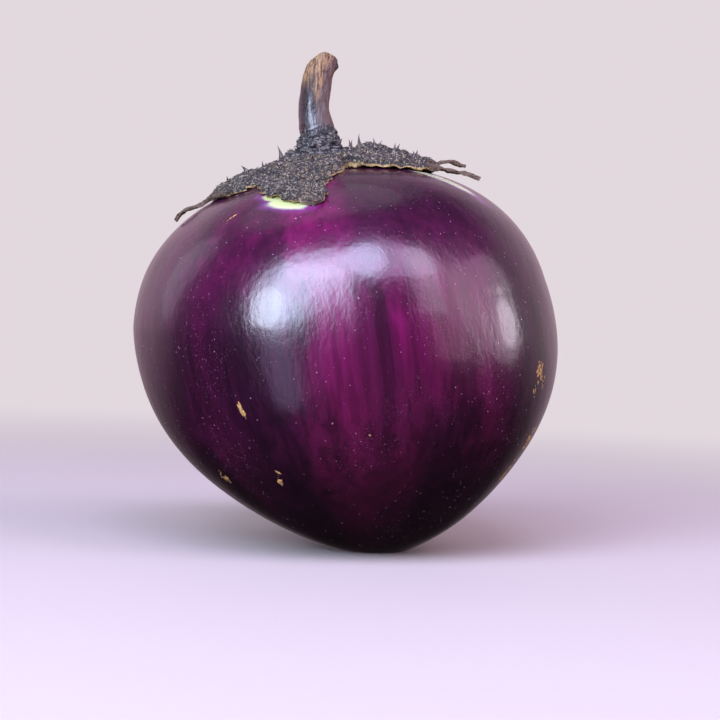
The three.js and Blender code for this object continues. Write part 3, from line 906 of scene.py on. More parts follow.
def collarPoint(azimuth, radius, height):
    turn = np.radians(azimuth)
    wave = calyx["collarWave"] * np.sin(turn * 9 + height * 2)
    toLeft = hump(turnBetween(azimuth, 180), calyx["leftSwellSpread"])
    swell = calyx["leftSwell"] * toLeft * smoothShare(height, *calyx["leftSwellHeights"])
    unevenly = 1.3 * np.sin(turn * 3) + 0.7 * np.sin(turn * 7)
    ring = calyx["collarWrinkle"] * np.sin(height * 4.6 + unevenly)
    reach = radius + wave + swell + ring * smoothShare(height, 110.5, 111.5)
    foldAt, foldRadius, foldHeight, foldSpread = calyx["fold"]
    fold = foldHeight * hump(asideFrom(azimuth, foldAt, reach), foldSpread)
    fold = fold * hump(reach - foldRadius, foldSpread)
    return np.stack([reach * np.cos(turn), reach * np.sin(turn), height + fold], axis=-1)


def fineCollar():
    fine = []
    line = calyx["collar"]
    for (r0, h0), (r1, h1) in zip(line, line[1:]):
        steps = max(2, int(abs(h1 - h0) / calyx["collarStep"]))
        fine += [(r0 + (r1 - r0) * k / steps, h0 + (h1 - h0) * k / steps) for k in range(steps)]
    return fine + [line[-1]]


def makeCalyx():
    points, faces, margins, tails, collars = [], [], [], [], []

    def keep(row, margin, tail, collar=0.0):
        first = len(points)
        points.extend(row)
        margins.extend(margin)
        tails.extend(tail)
        collars.extend([collar] * len(row))
        return list(range(first, first + len(row)))

    shared = []
    rows = calyx["rows"]
    for low, high in zip(rows, rows[1:]):
        shared += [low + (high - low) * k / calyx["rowSteps"] for k in range(calyx["rowSteps"])]
    shared.append(rows[-1])
    columns = calyx["columns"]
    across = np.linspace(-1, 1, columns + 1)
    for sepal in sepals:
        tip = sepal["line"][-1][0]
        own = np.linspace(rows[-1], tip, calyx["ownRows"] + 1)[1:]
        radii = np.append(shared, own)
        radiusGrid, acrossGrid = np.meshgrid(radii, across, indexing="ij")
        low, high, margin = bladeFaces(sepal, radiusGrid, acrossGrid)
        dryness = calyx["creasedDryness"] if sepal.get("creased") else 1
        tail = tailShare(sepal, radiusGrid) * dryness
        under = [keep(low[k], [1.0] * (columns + 1), tail[k]) for k in range(len(radii))]
        straw = margin * calyx["strawOnTop"]
        upper = [keep(high[k], straw[k], tail[k]) for k in range(len(radii))]
        azimuth = acrossAzimuth(sepal, np.full(columns + 1, rows[0]), across)
        zeros = [0.0] * (columns + 1)
        bore = np.radians(azimuth)
        foot = crownPoint(azimuth, np.full(columns + 1, calyx["bore"]))[:, 2] + calyx["boreRise"]
        ring = calyx["bore"] * np.stack([np.cos(bore), np.sin(bore), 0 * bore], axis=-1)
        boreFoot = keep(ring + np.stack([0 * foot, 0 * foot, foot], axis=-1), zeros, zeros)
        top = calyx["collar"][0][1] - calyx["boreDrop"]
        boreTop = keep(ring + np.array([0, 0, top]), zeros, zeros, 1.0)
        outside = []
        for far, tall in fineCollar():
            bark = float(smoothShare(tall, *calyx["barkFrom"]))
            outside.append(keep(collarPoint(azimuth, far, tall), zeros, zeros, bark))
        section = [boreFoot, boreTop] + outside + upper + under[::-1]
        for k, inner in enumerate(section):
            outer = section[(k + 1) % len(section)]
            faces += [(inner[c + 1], inner[c], outer[c], outer[c + 1]) for c in range(columns)]
        for k in range(len(radii) - 1):
            if k >= gaps[sepal["between"][0]][1] * calyx["rowSteps"]:
                faces.append((upper[k + 1][0], upper[k][0], under[k][0], under[k + 1][0]))
            if k >= gaps[sepal["between"][1]][1] * calyx["rowSteps"]:
                faces.append((upper[k][-1], upper[k + 1][-1], under[k + 1][-1], under[k][-1]))

    piece = meshPiece("calyx_sepals", place(points), faces)
    for name, values in (("margin", margins), ("tail", tails), ("collar", collars)):
        storeLayer(piece, name, values)
    work = bmesh.new()
    work.from_mesh(piece.data)
    bmesh.ops.remove_doubles(work, verts=work.verts, dist=0.000004)
    bmesh.ops.dissolve_degenerate(work, edges=work.edges, dist=0.000002)
    bmesh.ops.recalc_face_normals(work, faces=work.faces)
    work.normal_update()
    dry = work.verts.layers.float["tail"]
    for vertex in work.verts:
        spot = vertex.co / mm
        coarse = noise.fractal(spot * 0.55, 0.8, 2.1, 2)
        grain = noise.fractal(spot * 1.9, 0.7, 2.2, 2)
        push = (calyx["wrinkle"] * coarse + calyx["grain"] * grain) * (1 - 0.6 * vertex[dry])
        vertex.co += vertex.normal * push * mm
    work.to_mesh(piece.data)
    work.free()
    piece.data.shade_smooth()
    piece.data.set_sharp_from_angle(angle=math.radians(calyx["sharpFrom"]))
    return piece


def makeFelt():
    material, tree, shader = newMaterial("driedFelt")
    spot = objectSpot(tree)
    flecks = noiseOf(tree, spot, 1400.0, 4.0, 0.75)
    patches = noiseOf(tree, spot, 170.0, 4.0, 0.6)
    cells = addNode(tree, "ShaderNodeTexVoronoi", inputs={"Vector": spot, "Scale": 1350.0})
    dark = mixColour(tree, patches, paint(11, 9, 13), paint(42, 35, 34))
    light = mixColour(tree, noiseOf(tree, spot, 90.0), paint(146, 142, 140), paint(176, 152, 106))
    fleck = remap(tree, flecks, 0.52, 0.62)
    star = remap(tree, cells.outputs["Distance"], 0.42, 0.16)
    pale = times(tree, calc(tree, "MAXIMUM", fleck, times(tree, star, 0.4)), 0.62)
    colour = mixColour(tree, pale, dark, light)
    torn = sway(tree, patches, 0.7, attributeOf(tree, "margin"))
    straw = mixColour(tree, flecks, paint(104, 78, 46), paint(186, 158, 106))
    colour = mixColour(tree, remap(tree, torn, 0.58, 0.85), colour, straw)
    # the collar is bare bark, blue-black and wrinkled across
    folds = noiseOf(tree, scaled(tree, spot, 0.45, 0.45, 1.0), 1700.0, 4.0, 0.7)
    bare = mixColour(tree, remap(tree, folds, 0.48, 0.6), paint(14, 11, 15), paint(100, 95, 92))
    colour = mixColour(tree, remap(tree, attributeOf(tree, "collar"), 0.2, 0.8), colour, bare)
    # dry tails turn to brown husk
    husk = mixColour(tree, flecks, paint(40, 28, 26), paint(96, 74, 58))
    dry = remap(tree, attributeOf(tree, "tail"), 0.02, 0.3, 0.0, 0.85)
    colour = mixColour(tree, dry, colour, husk)
    relief = timesPlus(tree, star, 0.6, flecks)
    dress(tree, shader, {"Base Color": colour, "Roughness": 0.85}, relief, 0.7, 0.0003)
    return material


calyxPiece = makeCalyx()
calyxPiece.data.materials.append(makeFelt())
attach(calyxPiece, "root")
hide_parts("calyx")
print("calyx", len(calyxPiece.data.polygons), "faces")


# Felt hairs: short stiff fibres that lie every way over the calyx and break up its outline.

hairs = {
    "Density": 1.9e6,
    "Length": 0.8 * mm,
    "Thickness": 0.1 * mm,
    "Rise": 0.28,
    "Least Size": 0.5,
    "Greatest Size": 1.5,
    "Seed": 11,
}


def makeHairTree(material):
    tree, size, result = newTree("feltHairs", hairs)
    margin, tail, collar = [readAttribute(tree, name) for name in ("margin", "tail", "collar")]
    onTop = times(tree, remap(tree, margin, 0.35, 0.3), remap(tree, tail, 0.5, 0.1))
    onTop = times(tree, onTop, remap(tree, collar, 0.8, 0.1, 0.06, 1.0))
    density = times(tree, size["Density"], onTop)
    inputs = {"Mesh": size["Geometry"], "Density": density, "Seed": size["Seed"]}
    scatter = addNode(tree, "GeometryNodeDistributePointsOnFaces", inputs=inputs).outputs
    fibre = makeCone(tree, 3, 1, size["Thickness"], size["Length"])
    inputs = {"Min": (-1, -1, -1), "Max": (1, 1, 1), "Seed": size["Seed"]}
    lean = addNode(tree, "FunctionNodeRandomValue", {"data_type": "FLOAT_VECTOR"}, inputs)
    sideways = vectorCalc(tree, "CROSS_PRODUCT", lean.outputs["Value"], scatter["Normal"])
    upright = scaleBy(tree, scatter["Normal"], size["Rise"])
    heading = vectorCalc(tree, "ADD", vectorCalc(tree, "NORMALIZE", sideways), upright)
    # sockets 2 and 3 are the least and the greatest number
    inputs = {2: size["Least Size"], 3: size["Greatest Size"]}
    grown = addNode(tree, "FunctionNodeRandomValue", {"data_type": "FLOAT"}, inputs)
    tone = addNode(tree, "FunctionNodeRandomValue", {"data_type": "FLOAT"}, {"Seed": 5})
    toned = storeAttribute(tree, scatter["Points"], "tone", tone.outputs[1])
    planted = plant(tree, toned, fibre, upAlong(tree, heading), grown.outputs[1])
    finishTree(tree, planted, material, result, smooth=False)
    return tree


def makeHairMaterial():
    material, tree, shader = newMaterial("feltHair")
    spot = objectSpot(tree)
    warm = remap(tree, noiseOf(tree, spot, 110.0), 0.4, 0.6)
    pale = mixColour(tree, warm, paint(160, 152, 142), paint(178, 152, 106))
    colour = mixColour(tree, remap(tree, attributeOf(tree, "tone"), 0.35, 1.0), paint(20, 17, 20), pale)
    # the hair lies darker in some places than in others
    worn = remap(tree, noiseOf(tree, spot, 260.0, 4.0, 0.6), 0.62, 0.4, 0.0, 0.8)
    colour = mixColour(tree, worn, colour, paint(22, 18, 21))
    dress(tree, shader, {"Base Color": colour, "Roughness": 0.8})
    return material


hairBase = linkObject("hairBase", calyxPiece.data.copy())
hairPiece = growPiece("calyx_felt", hairBase, makeHairTree(makeHairMaterial()), hairs)
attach(hairPiece, "root")
print("felt hairs", len(hairPiece.data.polygons), "faces")


# Prickles: where the solid has them, by the same seeded rule, as fine bent thorns.

prickles = {
    "spacing": 4.6,
    "shortest": 1.8,
    "longest": 3.6,
    "rootRadius": 0.85,
    "sides": 9,
    "hook": 0.75,
    # the first one's radius, and how far before a blade's end the last one may stand
    "firstAt": 11.0,
    "spareEnd": 3,
    # how far off the midrib one may stand, how far it leans, how deep it is rooted
    "straying": 0.7,
    "lean": 0.5,
    "rooted": 0.1,
    "shortensBetween": (9, 30),
    # the least share of the usual length and how much is drawn on top, the length below the
    # felt, and how far the drawn bend turns one round
    "leastLength": 0.75,
    "lengthVaries": 0.35,
    "rootLength": 0.4,
    "spin": 12,
    # those on the collar
    "collarAzimuths": [-8, 95, 205, 262],
    "collarHeight": 113.4,
    "collarRadius": 5.3,
    "collarRise": 0.55,
    "collarLength": 1.9,
    "collarBend": 0.3,
    "seed": 7,
}


def seededRandom(seed):
    state = seed
    while True:
        state = state * 16807 % 2147483647
        yield state / 2147483647


def findPrickles():
    draw = seededRandom(prickles["seed"])
    found = []
    for sepal in sepals:
        radius = np.array(prickles["firstAt"])
        while radius < sepal["bladeEnd"] - prickles["spareEnd"]:
            across = (next(draw) - 0.5) * prickles["straying"]
            azimuth = acrossAzimuth(sepal, radius, np.array(across))
            lift = through(sepal["line"], 2, radius)
            top = lift + bladeThickness(sepal, azimuth, radius, across)
            facing = crownFacing(azimuth, radius)
            root = crownPoint(azimuth, radius) + facing * (top - prickles["rooted"])
            turn = math.radians(azimuth)
            outward = np.array([math.cos(turn), math.sin(turn), 0])
            heading = facing + outward * prickles["lean"] * (next(draw) - 0.4)
            outer = smoothShare(radius, *prickles["shortensBetween"])
            usual = prickles["longest"] + (prickles["shortest"] - prickles["longest"]) * outer
            length = usual * (prickles["leastLength"] + prickles["lengthVaries"] * next(draw))
            length = float(length) + prickles["rootLength"]
            found.append((root, heading / np.linalg.norm(heading), length, next(draw) - 0.5))
            radius = radius + prickles["spacing"]
    for azimuth in prickles["collarAzimuths"]:
        turn = math.radians(azimuth)
        heading = np.array([math.cos(turn), math.sin(turn), prickles["collarRise"]])
        heading = heading / np.linalg.norm(heading)
        root = collarPoint(float(azimuth), prickles["collarRadius"], prickles["collarHeight"])
        found.append((root, heading, prickles["collarLength"], prickles["collarBend"]))
    return found


def makePrickleTree(material):
    sizes = {**sizesOf(prickles, "sides hook"), **sizesOf(prickles, "rootRadius", mm)}
    tree, size, result = newTree("prickleRows", sizes)
    thorn = makeCone(tree, size["Sides"], 8, size["Root Radius"], 1.0 * mm)
    # slim towards the tip and hook it over
    x, y, z = separate(tree, positionOf(tree))
    up = calc(tree, "DIVIDE", z, 1.0 * mm)
    left = calc(tree, "MAXIMUM", minus(tree, 1.0, up), 0.0)
    slim = timesPlus(tree, calc(tree, "POWER", left, 0.7), 0.7, 0.3)
    hook = times(tree, times(tree, calc(tree, "POWER", up, 2.2), size["Hook"]), mm)
    shaped = combine(tree, timesPlus(tree, x, slim, hook), times(tree, y, slim), z)
    bent = movePoints(tree, storeAttribute(tree, thorn, "tipward", up), Position=shaped)
    inputs = {"Axis": (0, 0, 1), "Angle": readAttribute(tree, "spin")}
    spin = addNode(tree, "FunctionNodeAxisAngleToRotation", inputs=inputs).outputs[0]
    heading = upAlong(tree, readAttribute(tree, "heading", "FLOAT_VECTOR"))
    inputs = {"Rotation": heading, "Rotate By": spin}
    turned = addNode(tree, "FunctionNodeRotateRotation", {"rotation_space": "LOCAL"}, inputs)
    stretch = combine(tree, 1.0, 1.0, readAttribute(tree, "reach"))
    planted = plant(tree, size["Geometry"], bent, turned.outputs[0], stretch)
    finishTree(tree, planted, material, result)
    return tree, sizes


def makePrickleMaterial():
    material, tree, shader = newMaterial("prickleHorn")
    flecks = noiseOf(tree, objectSpot(tree), 1500.0, 3.0, 0.7)
    root = mixColour(tree, remap(tree, flecks, 0.48, 0.66), paint(34, 28, 30), paint(110, 100, 92))
    horn = mixColour(tree, flecks, paint(24, 14, 18), paint(60, 40, 34))
    colour = mixColour(tree, remap(tree, attributeOf(tree, "tipward"), 0.2, 0.55), root, horn)
    dress(tree, shader, {"Base Color": colour, "Roughness": 0.45})
    return material


roots, headings, lengths, bends = zip(*findPrickles())
prickleBase = meshPiece("prickleBase", place(roots), [])
storeLayer(prickleBase, "heading", leaned(headings), "FLOAT_VECTOR", "vector")
storeLayer(prickleBase, "reach", lengths)
storeLayer(prickleBase, "spin", [bend * prickles["spin"] for bend in bends])
prickleMaker = makePrickleTree(makePrickleMaterial())
pricklePiece = growPiece("calyx_prickles", prickleBase, *prickleMaker)
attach(pricklePiece, "root")
print("prickles", len(roots))


# The stem: a woody tube swept along its line, flared above the collar, ridged and
# wrinkled, then cut slantwise. The cut face is the tube's own end, laid onto the cut's plane.

stem = {
    "line": [
        (0, 0, 106.7),
        (0, 0, 112),
        (-0.1, 0, 116),
        (-0.4, 0.1, 119.5),
        (-0.4, 0.2, 122.5),
        (-0.1, 0.3, 124.8),
        (0.5, 0.3, 127),
        (1.1, 0.4, 129.3),
        (1.65, 0.4, 131.3),
        (2.45, 0.4, 133.1),
        (3.4, 0.4, 134.9),
        (4.5, 0.5, 137),
        (6.4, 0.5, 140.6),
    ],
    "shaftRadius": 4.02,
    "flare": 0.72,
    "flareAt": 117.3,
    "flareSpread": 4.2,
    "ridges": 5.0,
    "ridgeDepth": 0.16,
    "grain": 0.15,
    "crease": 0.15,
    "capFrom": 139.4,
    "capTo": 140.6,
    "cutPoint": (-19.1, -7, 130.2),
    "cutTilt": 42,
    "hollow": 0.7,
    "nubHeight": 0.7,
    "slimming": 0.3,
    # heights between which the slimming, the ridges and the creases come in
    "slims": (129, 135),
    "ridgesGrow": (120, 125),
    "creasesGrow": (120.8, 117.6),
    "nub": (7.3, 0.2, 133.6),
    "nubSpread": 1.1,
    "nubStain": 1.6,
    "rings": 230,
    "sides": 112,
}


def findNub():
    return tuple(place([stem["nub"]])[0])


def smoothLine(line, steps):
    points = [Vector(p) for p in line]
    ends = [2 * points[0] - points[1]] + points + [2 * points[-1] - points[-2]]
    path = []
    for i in range(1, len(ends) - 2):
        before, here, ahead, after = ends[i - 1 : i + 3]
        for k in range(steps):
            t = k / steps
            bend = 2 * before - 5 * here + 4 * ahead - after
            twist = 3 * here - before - 3 * ahead + after
            path.append(here + 0.5 * ((ahead - before) * t + bend * t**2 + twist * t**3))
    return path + [ends[-2]]


def makeStemTree(material):
    sizes = {
        **sizesOf(stem, "rings sides flareAt flareSpread ridges capFrom capTo"),
        **sizesOf(stem, "shaftRadius flare slimming ridgeDepth grain crease hollow", mm),
        **sizesOf(stem, "nubHeight nubSpread", mm),
    }
    tree, size, result = newTree("stemSweep", sizes)
    line = addNode(tree, "GeometryNodeMeshToCurve", inputs={"Mesh": size["Geometry"]})
    inputs = {"Curve": line.outputs[0], "Count": size["Rings"]}
    fine = addNode(tree, "GeometryNodeResampleCurve", inputs=inputs)
    height = readAttribute(tree, "height")
    flare = bell(tree, minus(tree, height, size["Flare At"]), size["Flare Spread"])
    shaft = timesPlus(tree, flare, size["Flare"], size["Shaft Radius"])
    slim = times(tree, remap(tree, height, *stem["slims"]), size["Slimming"])
    cap = remap(tree, height, size["Cap From"], size["Cap To"], smooth=False)
    girth = times(tree, minus(tree, shaft, slim), minus(tree, 1.0, times(tree, cap, 0.995)))
    inputs = {"Resolution": size["Sides"], "Radius": 1.0}
    ring = addNode(tree, "GeometryNodeCurvePrimitiveCircle", inputs=inputs)
    around = addNode(tree, "GeometryNodeSplineParameter").outputs["Factor"]
    ring = storeAttribute(tree, ring.outputs[0], "around", times(tree, around, 2 * math.pi))
    line = storeAttribute(tree, fine.outputs[0], "cap", cap)
    inputs = {"Curve": line, "Profile Curve": ring, "Scale": girth, "Fill Caps": True}
    tube = addNode(tree, "GeometryNodeCurveToMesh", inputs=inputs)

    # ridges, lengthwise fibres and crosswise creases, the creases mostly near the collar
    around = readAttribute(tree, "around")
    cap = readAttribute(tree, "cap")
    ridge = times(tree, calc(tree, "COSINE", times(tree, around, size["Ridges"])), size["Ridge Depth"])
    ridge = times(tree, ridge, remap(tree, height, *stem["ridgesGrow"]))
    left = times(tree, calc(tree, "COSINE", around), 3.0)
    back = times(tree, calc(tree, "SINE", around), 3.0)
    spin = combine(tree, left, back, times(tree, height, 0.09))
    fibres = noiseOf(tree, spin, 2.4, 4.0, 0.62)
    push = sway(tree, fibres, times(tree, size["Grain"], 2.4), ridge)
    folds = noiseOf(tree, scaled(tree, spin, 0.3, 0.3, 12.0), 1.3, 3.0, 0.6)
    folded = times(tree, size["Crease"], remap(tree, height, *stem["creasesGrow"], 0.3, 2.0))
    push = sway(tree, folds, folded, push)
    here = positionOf(tree)
    nub = bell(tree, vectorCalc(tree, "DISTANCE", here, findNub()), size["Nub Spread"])
    push = timesPlus(tree, nub, size["Nub Height"], push)
    normal = addNode(tree, "GeometryNodeInputNormal").outputs[0]
    bulge = scaleBy(tree, normal, times(tree, push, remap(tree, cap, 0.3, 0.0)))
    grown = movePoints(tree, tube.outputs[0], Offset=bulge)

    # whatever stands past the cut's plane slides back along the stem onto it
    tilt = math.radians(stem["cutTilt"])
    faces = Vector((0, math.sin(tilt), math.cos(tilt)))
    ahead = Vector(stem["line"][-1]) - Vector(stem["line"][-2])
    ahead = (stance.to_3x3() @ ahead).normalized()
    cutPoint = tuple(v * mm for v in stem["cutPoint"])
    past = vectorCalc(tree, "DOT_PRODUCT", vectorCalc(tree, "SUBTRACT", here, cutPoint), tuple(faces))
    slide = times(tree, calc(tree, "MAXIMUM", past, 0.0), -1.0)
    slide = scaleBy(tree, tuple(ahead / ahead.dot(faces)), slide)
    pits = remap(tree, noiseOf(tree, here, 1500.0, 3.0, 0.6), 0.3, 0.7, 0.6, 1.4)
    sunk = times(tree, remap(tree, cap, 0.08, 0.5), times(tree, size["Hollow"], pits))
    dent = scaleBy(tree, tuple(-faces), sunk)
    cut = movePoints(tree, grown, Offset=vectorCalc(tree, "ADD", slide, dent))
    inputs = {"Geometry": cut, "Distance": 0.015 * mm}
    merged = addNode(tree, "GeometryNodeMergeByDistance", inputs=inputs)
    finishTree(tree, merged.outputs[0], material, result)
    return tree, sizes


def makeStemMaterial():
    material, tree, shader = newMaterial("stemBark")
    spot = objectSpot(tree)
    height = attributeOf(tree, "height")
    fibres = noiseOf(tree, scaled(tree, spot, 1.0, 1.0, 0.16), 1500.0, 4.0, 0.65)
    blotch = noiseOf(tree, spot, 260.0, 4.0, 0.6)
    flecks = noiseOf(tree, spot, 1300.0, 4.0, 0.72)
    # how far left or right of the stem's middle line, as a share of its radius
    aside = minus(tree, separate(tree, spot)[0], attributeOf(tree, "middle"))
    aside = calc(tree, "DIVIDE", aside, stem["shaftRadius"] * mm)
    wander = sway(tree, blotch, 0.7, aside)
    bark = mixColour(tree, remap(tree, blotch, 0.35, 0.65), paint(11, 6, 11), paint(30, 19, 24))
    grey = mixColour(tree, remap(tree, fibres, 0.3, 0.7), paint(54, 42, 42), paint(92, 74, 68))
    scurf = mixColour(tree, remap(tree, flecks, 0.5, 0.62), paint(16, 13, 18), paint(100, 95, 94))
    # its right half is greyer and duller, its flanks red-brown as a painted reflection at the edges seen
    # from the front, its foot scurfy
    layers = (
        (remap(tree, wander, -0.05, 0.3, 0.0, 0.85), grey),
        # painted reflection: red-brown on both flanks
        (remap(tree, aside, 0.7, 1.0, 0.0, 0.6), paint(92, 56, 54)),
        (remap(tree, aside, -0.72, -1.0, 0.0, 0.7), paint(70, 34, 40)),
        (remap(tree, fibres, 0.58, 0.74, 0.0, 0.3), paint(96, 78, 72)),
        (remap(tree, sway(tree, blotch, 6.0, height), 119.6, 116.8), scurf),
    )
    for share, over in layers:
        bark = mixColour(tree, share, bark, over)
    # the top dried to straw, most of all along the front
    strands = remap(tree, fibres, 0.36, 0.64)
    straw = mixColour(tree, strands, paint(66, 42, 34), paint(142, 110, 72))
    dull = mixColour(tree, strands, paint(62, 38, 40), paint(98, 70, 62))
    straw = mixColour(tree, remap(tree, wander, 0.1, 0.55), straw, dull)
    reach = sway(tree, fibres, 9.0, height)
    reach = timesPlus(tree, bell(tree, minus(tree, aside, 0.2), 0.4), 2.5, reach)
    colour = mixColour(tree, remap(tree, reach, 126.0, 134.5), bark, straw)
    # the rim and the face of the cut, dark and dry
    cap = attributeOf(tree, "cap")
    pith = mixColour(tree, flecks, paint(60, 42, 34), paint(142, 112, 80))
    rim = mixColour(tree, remap(tree, cap, 0.2, 0.45), paint(38, 22, 24), pith)
    colour = mixColour(tree, remap(tree, cap, 0.0, 0.03), colour, rim)
    nub = bell(tree, vectorCalc(tree, "DISTANCE", spot, findNub()), stem["nubStain"] * mm)
    colour = mixColour(tree, times(tree, nub, 0.85), colour, paint(40, 24, 28))
    # its dull places: the dry top and the grey right half
    dullness = remap(tree, wander, 0.0, 0.4, 0.0, 0.75)
    dullness = calc(tree, "MAXIMUM", remap(tree, reach, 122, 131), dullness)
    inputs = {
        "Base Color": colour,
        "Roughness": remap(tree, dullness, 0.0, 1.0, 0.22, 0.62),
        "Coat Weight": remap(tree, dullness, 0.1, 0.8, 0.6, 0.0),
        "Coat Roughness": 0.26,
    }
    dress(tree, shader, inputs, timesPlus(tree, flecks, 0.8, fibres), 0.8, 0.00035)
    return material


def makeStem():
    path = np.array(smoothLine(stem["line"], 12))
    base = meshPiece("stemBase", place(path), [])
    base.data.edges.add(len(path) - 1)
    ends = [index for k in range(len(path) - 1) for index in (k, k + 1)]
    base.data.edges.foreach_set("vertices", ends)
    storeLayer(base, "height", path[:, 2])
    storeLayer(base, "middle", place(path)[:, 0])
    return growPiece("stem_bark", base, *makeStemTree(makeStemMaterial()))


stemPiece = makeStem()
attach(stemPiece, "root")
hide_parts("stem")
print("stem", len(stemPiece.data.polygons), "faces")


# Corky scars: small dry flakes that lie on the skin, each a ragged lens of a few faces.

scars = {
    # azimuth, latitude, half length, half width and turn from upright
    "places": [
        (-119.2, -11.1, 2.3, 0.72, 10),
        (-118.2, -33.6, 1.5, 0.85, -20),
        (-116.8, -30.2, 0.9, 0.5, 40),
        (-140.8, -33.1, 1.6, 0.45, -15),
        (-127.2, 49.6, 1.6, 0.25, -35),
        (-86.8, -21.0, 0.55, 0.5, 0),
        (58.0, 12.0, 1.8, 0.4, 20),
        (104.0, -24.0, 2.2, 0.6, -12),
        (152.0, 28.0, 1.4, 0.4, 30),
    ],
    # scuffs: azimuth and latitude, how far they spread in both, count, largest half length, turn
    "scuffs": [
        (-29.4, -12.0, 1.9, 3.6, 34, 1.4, -12),
        (-27.0, -15.5, 1.4, 2.5, 8, 1.0, -12),
        (-31.5, -17.5, 1.2, 2.5, 6, 0.9, -8),
        (-22.5, -34.0, 1.6, 4.5, 9, 1.9, -24),
        (-25.0, -43.0, 1.8, 4.0, 8, 1.9, -32),
        (-142.2, -31.8, 2.0, 2.2, 8, 0.8, -30),
        (-117.6, -31.8, 1.0, 1.6, 3, 0.5, 0),
        (118.0, 34.0, 3.0, 3.0, 7, 1.0, 30),
    ],
    "thickness": 0.17,
    "sunk": 0.03,
    # how ragged the outline is: slow and quick unevenness, and the least share of the size
    "slowRagged": 0.9,
    "quickRagged": 0.5,
    "leastShare": 0.35,
    "unevenness": 0.5,
    "turnSpread": 30,
    "rings": 4,
    "sides": 16,
    "seed": 3,
}


def findScars():
    draw = seededRandom(scars["seed"])
    found = list(scars["places"])
    for azimuth, latitude, across, along, count, longest, turn in scars["scuffs"]:
        for _ in range(count):
            aside = (next(draw) + next(draw) - 1) * across
            upward = (next(draw) + next(draw) - 1) * along
            length = longest * (0.25 + 0.75 * next(draw) ** 2)
            width = length * (0.25 + 0.3 * next(draw))
            turned = turn + scars["turnSpread"] * (next(draw) - 0.5)
            found.append((azimuth + aside, latitude + upward, length, width, turned))
    return found


def makeScars():
    points, faces = [], []
    for index, (azimuth, latitude, length, width, turn) in enumerate(findScars()):
        centre = skinPoint(azimuth, latitude)
        north = skinPoint(azimuth, latitude + 0.5) - centre
        east = skinPoint(azimuth + 0.5, latitude) - centre
        perDegree = np.linalg.norm(north) * 2, np.linalg.norm(east) * 2
        facing = np.cross(east, north)
        facing = facing / np.linalg.norm(facing)
        first = len(points)
        lean = math.radians(turn)
        for ring in range(scars["rings"] + 1):
            share = 1 - ring / scars["rings"]
            for side in range(scars["sides"]):
                angle = 2 * math.pi * side / scars["sides"]
                spot = (math.cos(angle) * 1.7, math.sin(angle) * 1.7, index * 7.3 + scars["seed"])
                ragged = 1 + scars["slowRagged"] * noise.noise(Vector(spot) * 1.4)
                ragged = ragged + scars["quickRagged"] * noise.noise(Vector(spot) * 3.3)
                ragged = max(scars["leastShare"], ragged)
                across = width * share * ragged * math.cos(angle)
                along = length * share * ragged * math.sin(angle)
                sideways = across * math.cos(lean) - along * math.sin(lean)
                upways = across * math.sin(lean) + along * math.cos(lean)
                at = skinPoint(azimuth + sideways / perDegree[1], latitude + upways / perDegree[0])
                rough = 1 + scars["unevenness"] * noise.noise(Vector((across * 3, along * 3, index)))
                high = scars["thickness"] * (1 - share**3) * rough - scars["sunk"]
                points.append(at + facing * high)
        for ring in range(scars["rings"]):
            here = first + ring * scars["sides"]
            after = here + scars["sides"]
            for side in range(scars["sides"]):
                turned = (side + 1) % scars["sides"]
                faces.append((here + side, here + turned, after + turned, after + side))
        faces.append(tuple(first + side for side in reversed(range(scars["sides"]))))
    piece = meshPiece("skin_scars", place(points), faces)
    work = bmesh.new()
    work.from_mesh(piece.data)
    bmesh.ops.remove_doubles(work, verts=work.verts, dist=0.000002)
    bmesh.ops.recalc_face_normals(work, faces=work.faces)
    work.to_mesh(piece.data)
    work.free()
    piece.data.shade_smooth()
    return piece


def makeCork():
    material, tree, shader = newMaterial("corkyScar")
    grain = noiseOf(tree, objectSpot(tree), 2300.0, 4.0, 0.75)
    colour = mixColour(tree, remap(tree, grain, 0.36, 0.6), paint(66, 40, 22), paint(182, 142, 76))
    dress(tree, shader, {"Base Color": colour, "Roughness": 0.75}, grain, 0.6, 0.0002)
    return material


scarPiece = makeScars()
scarPiece.data.materials.append(makeCork())
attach(scarPiece, "root")
print("scars", len(scarPiece.data.polygons), "faces")


# Floor, light and camera.

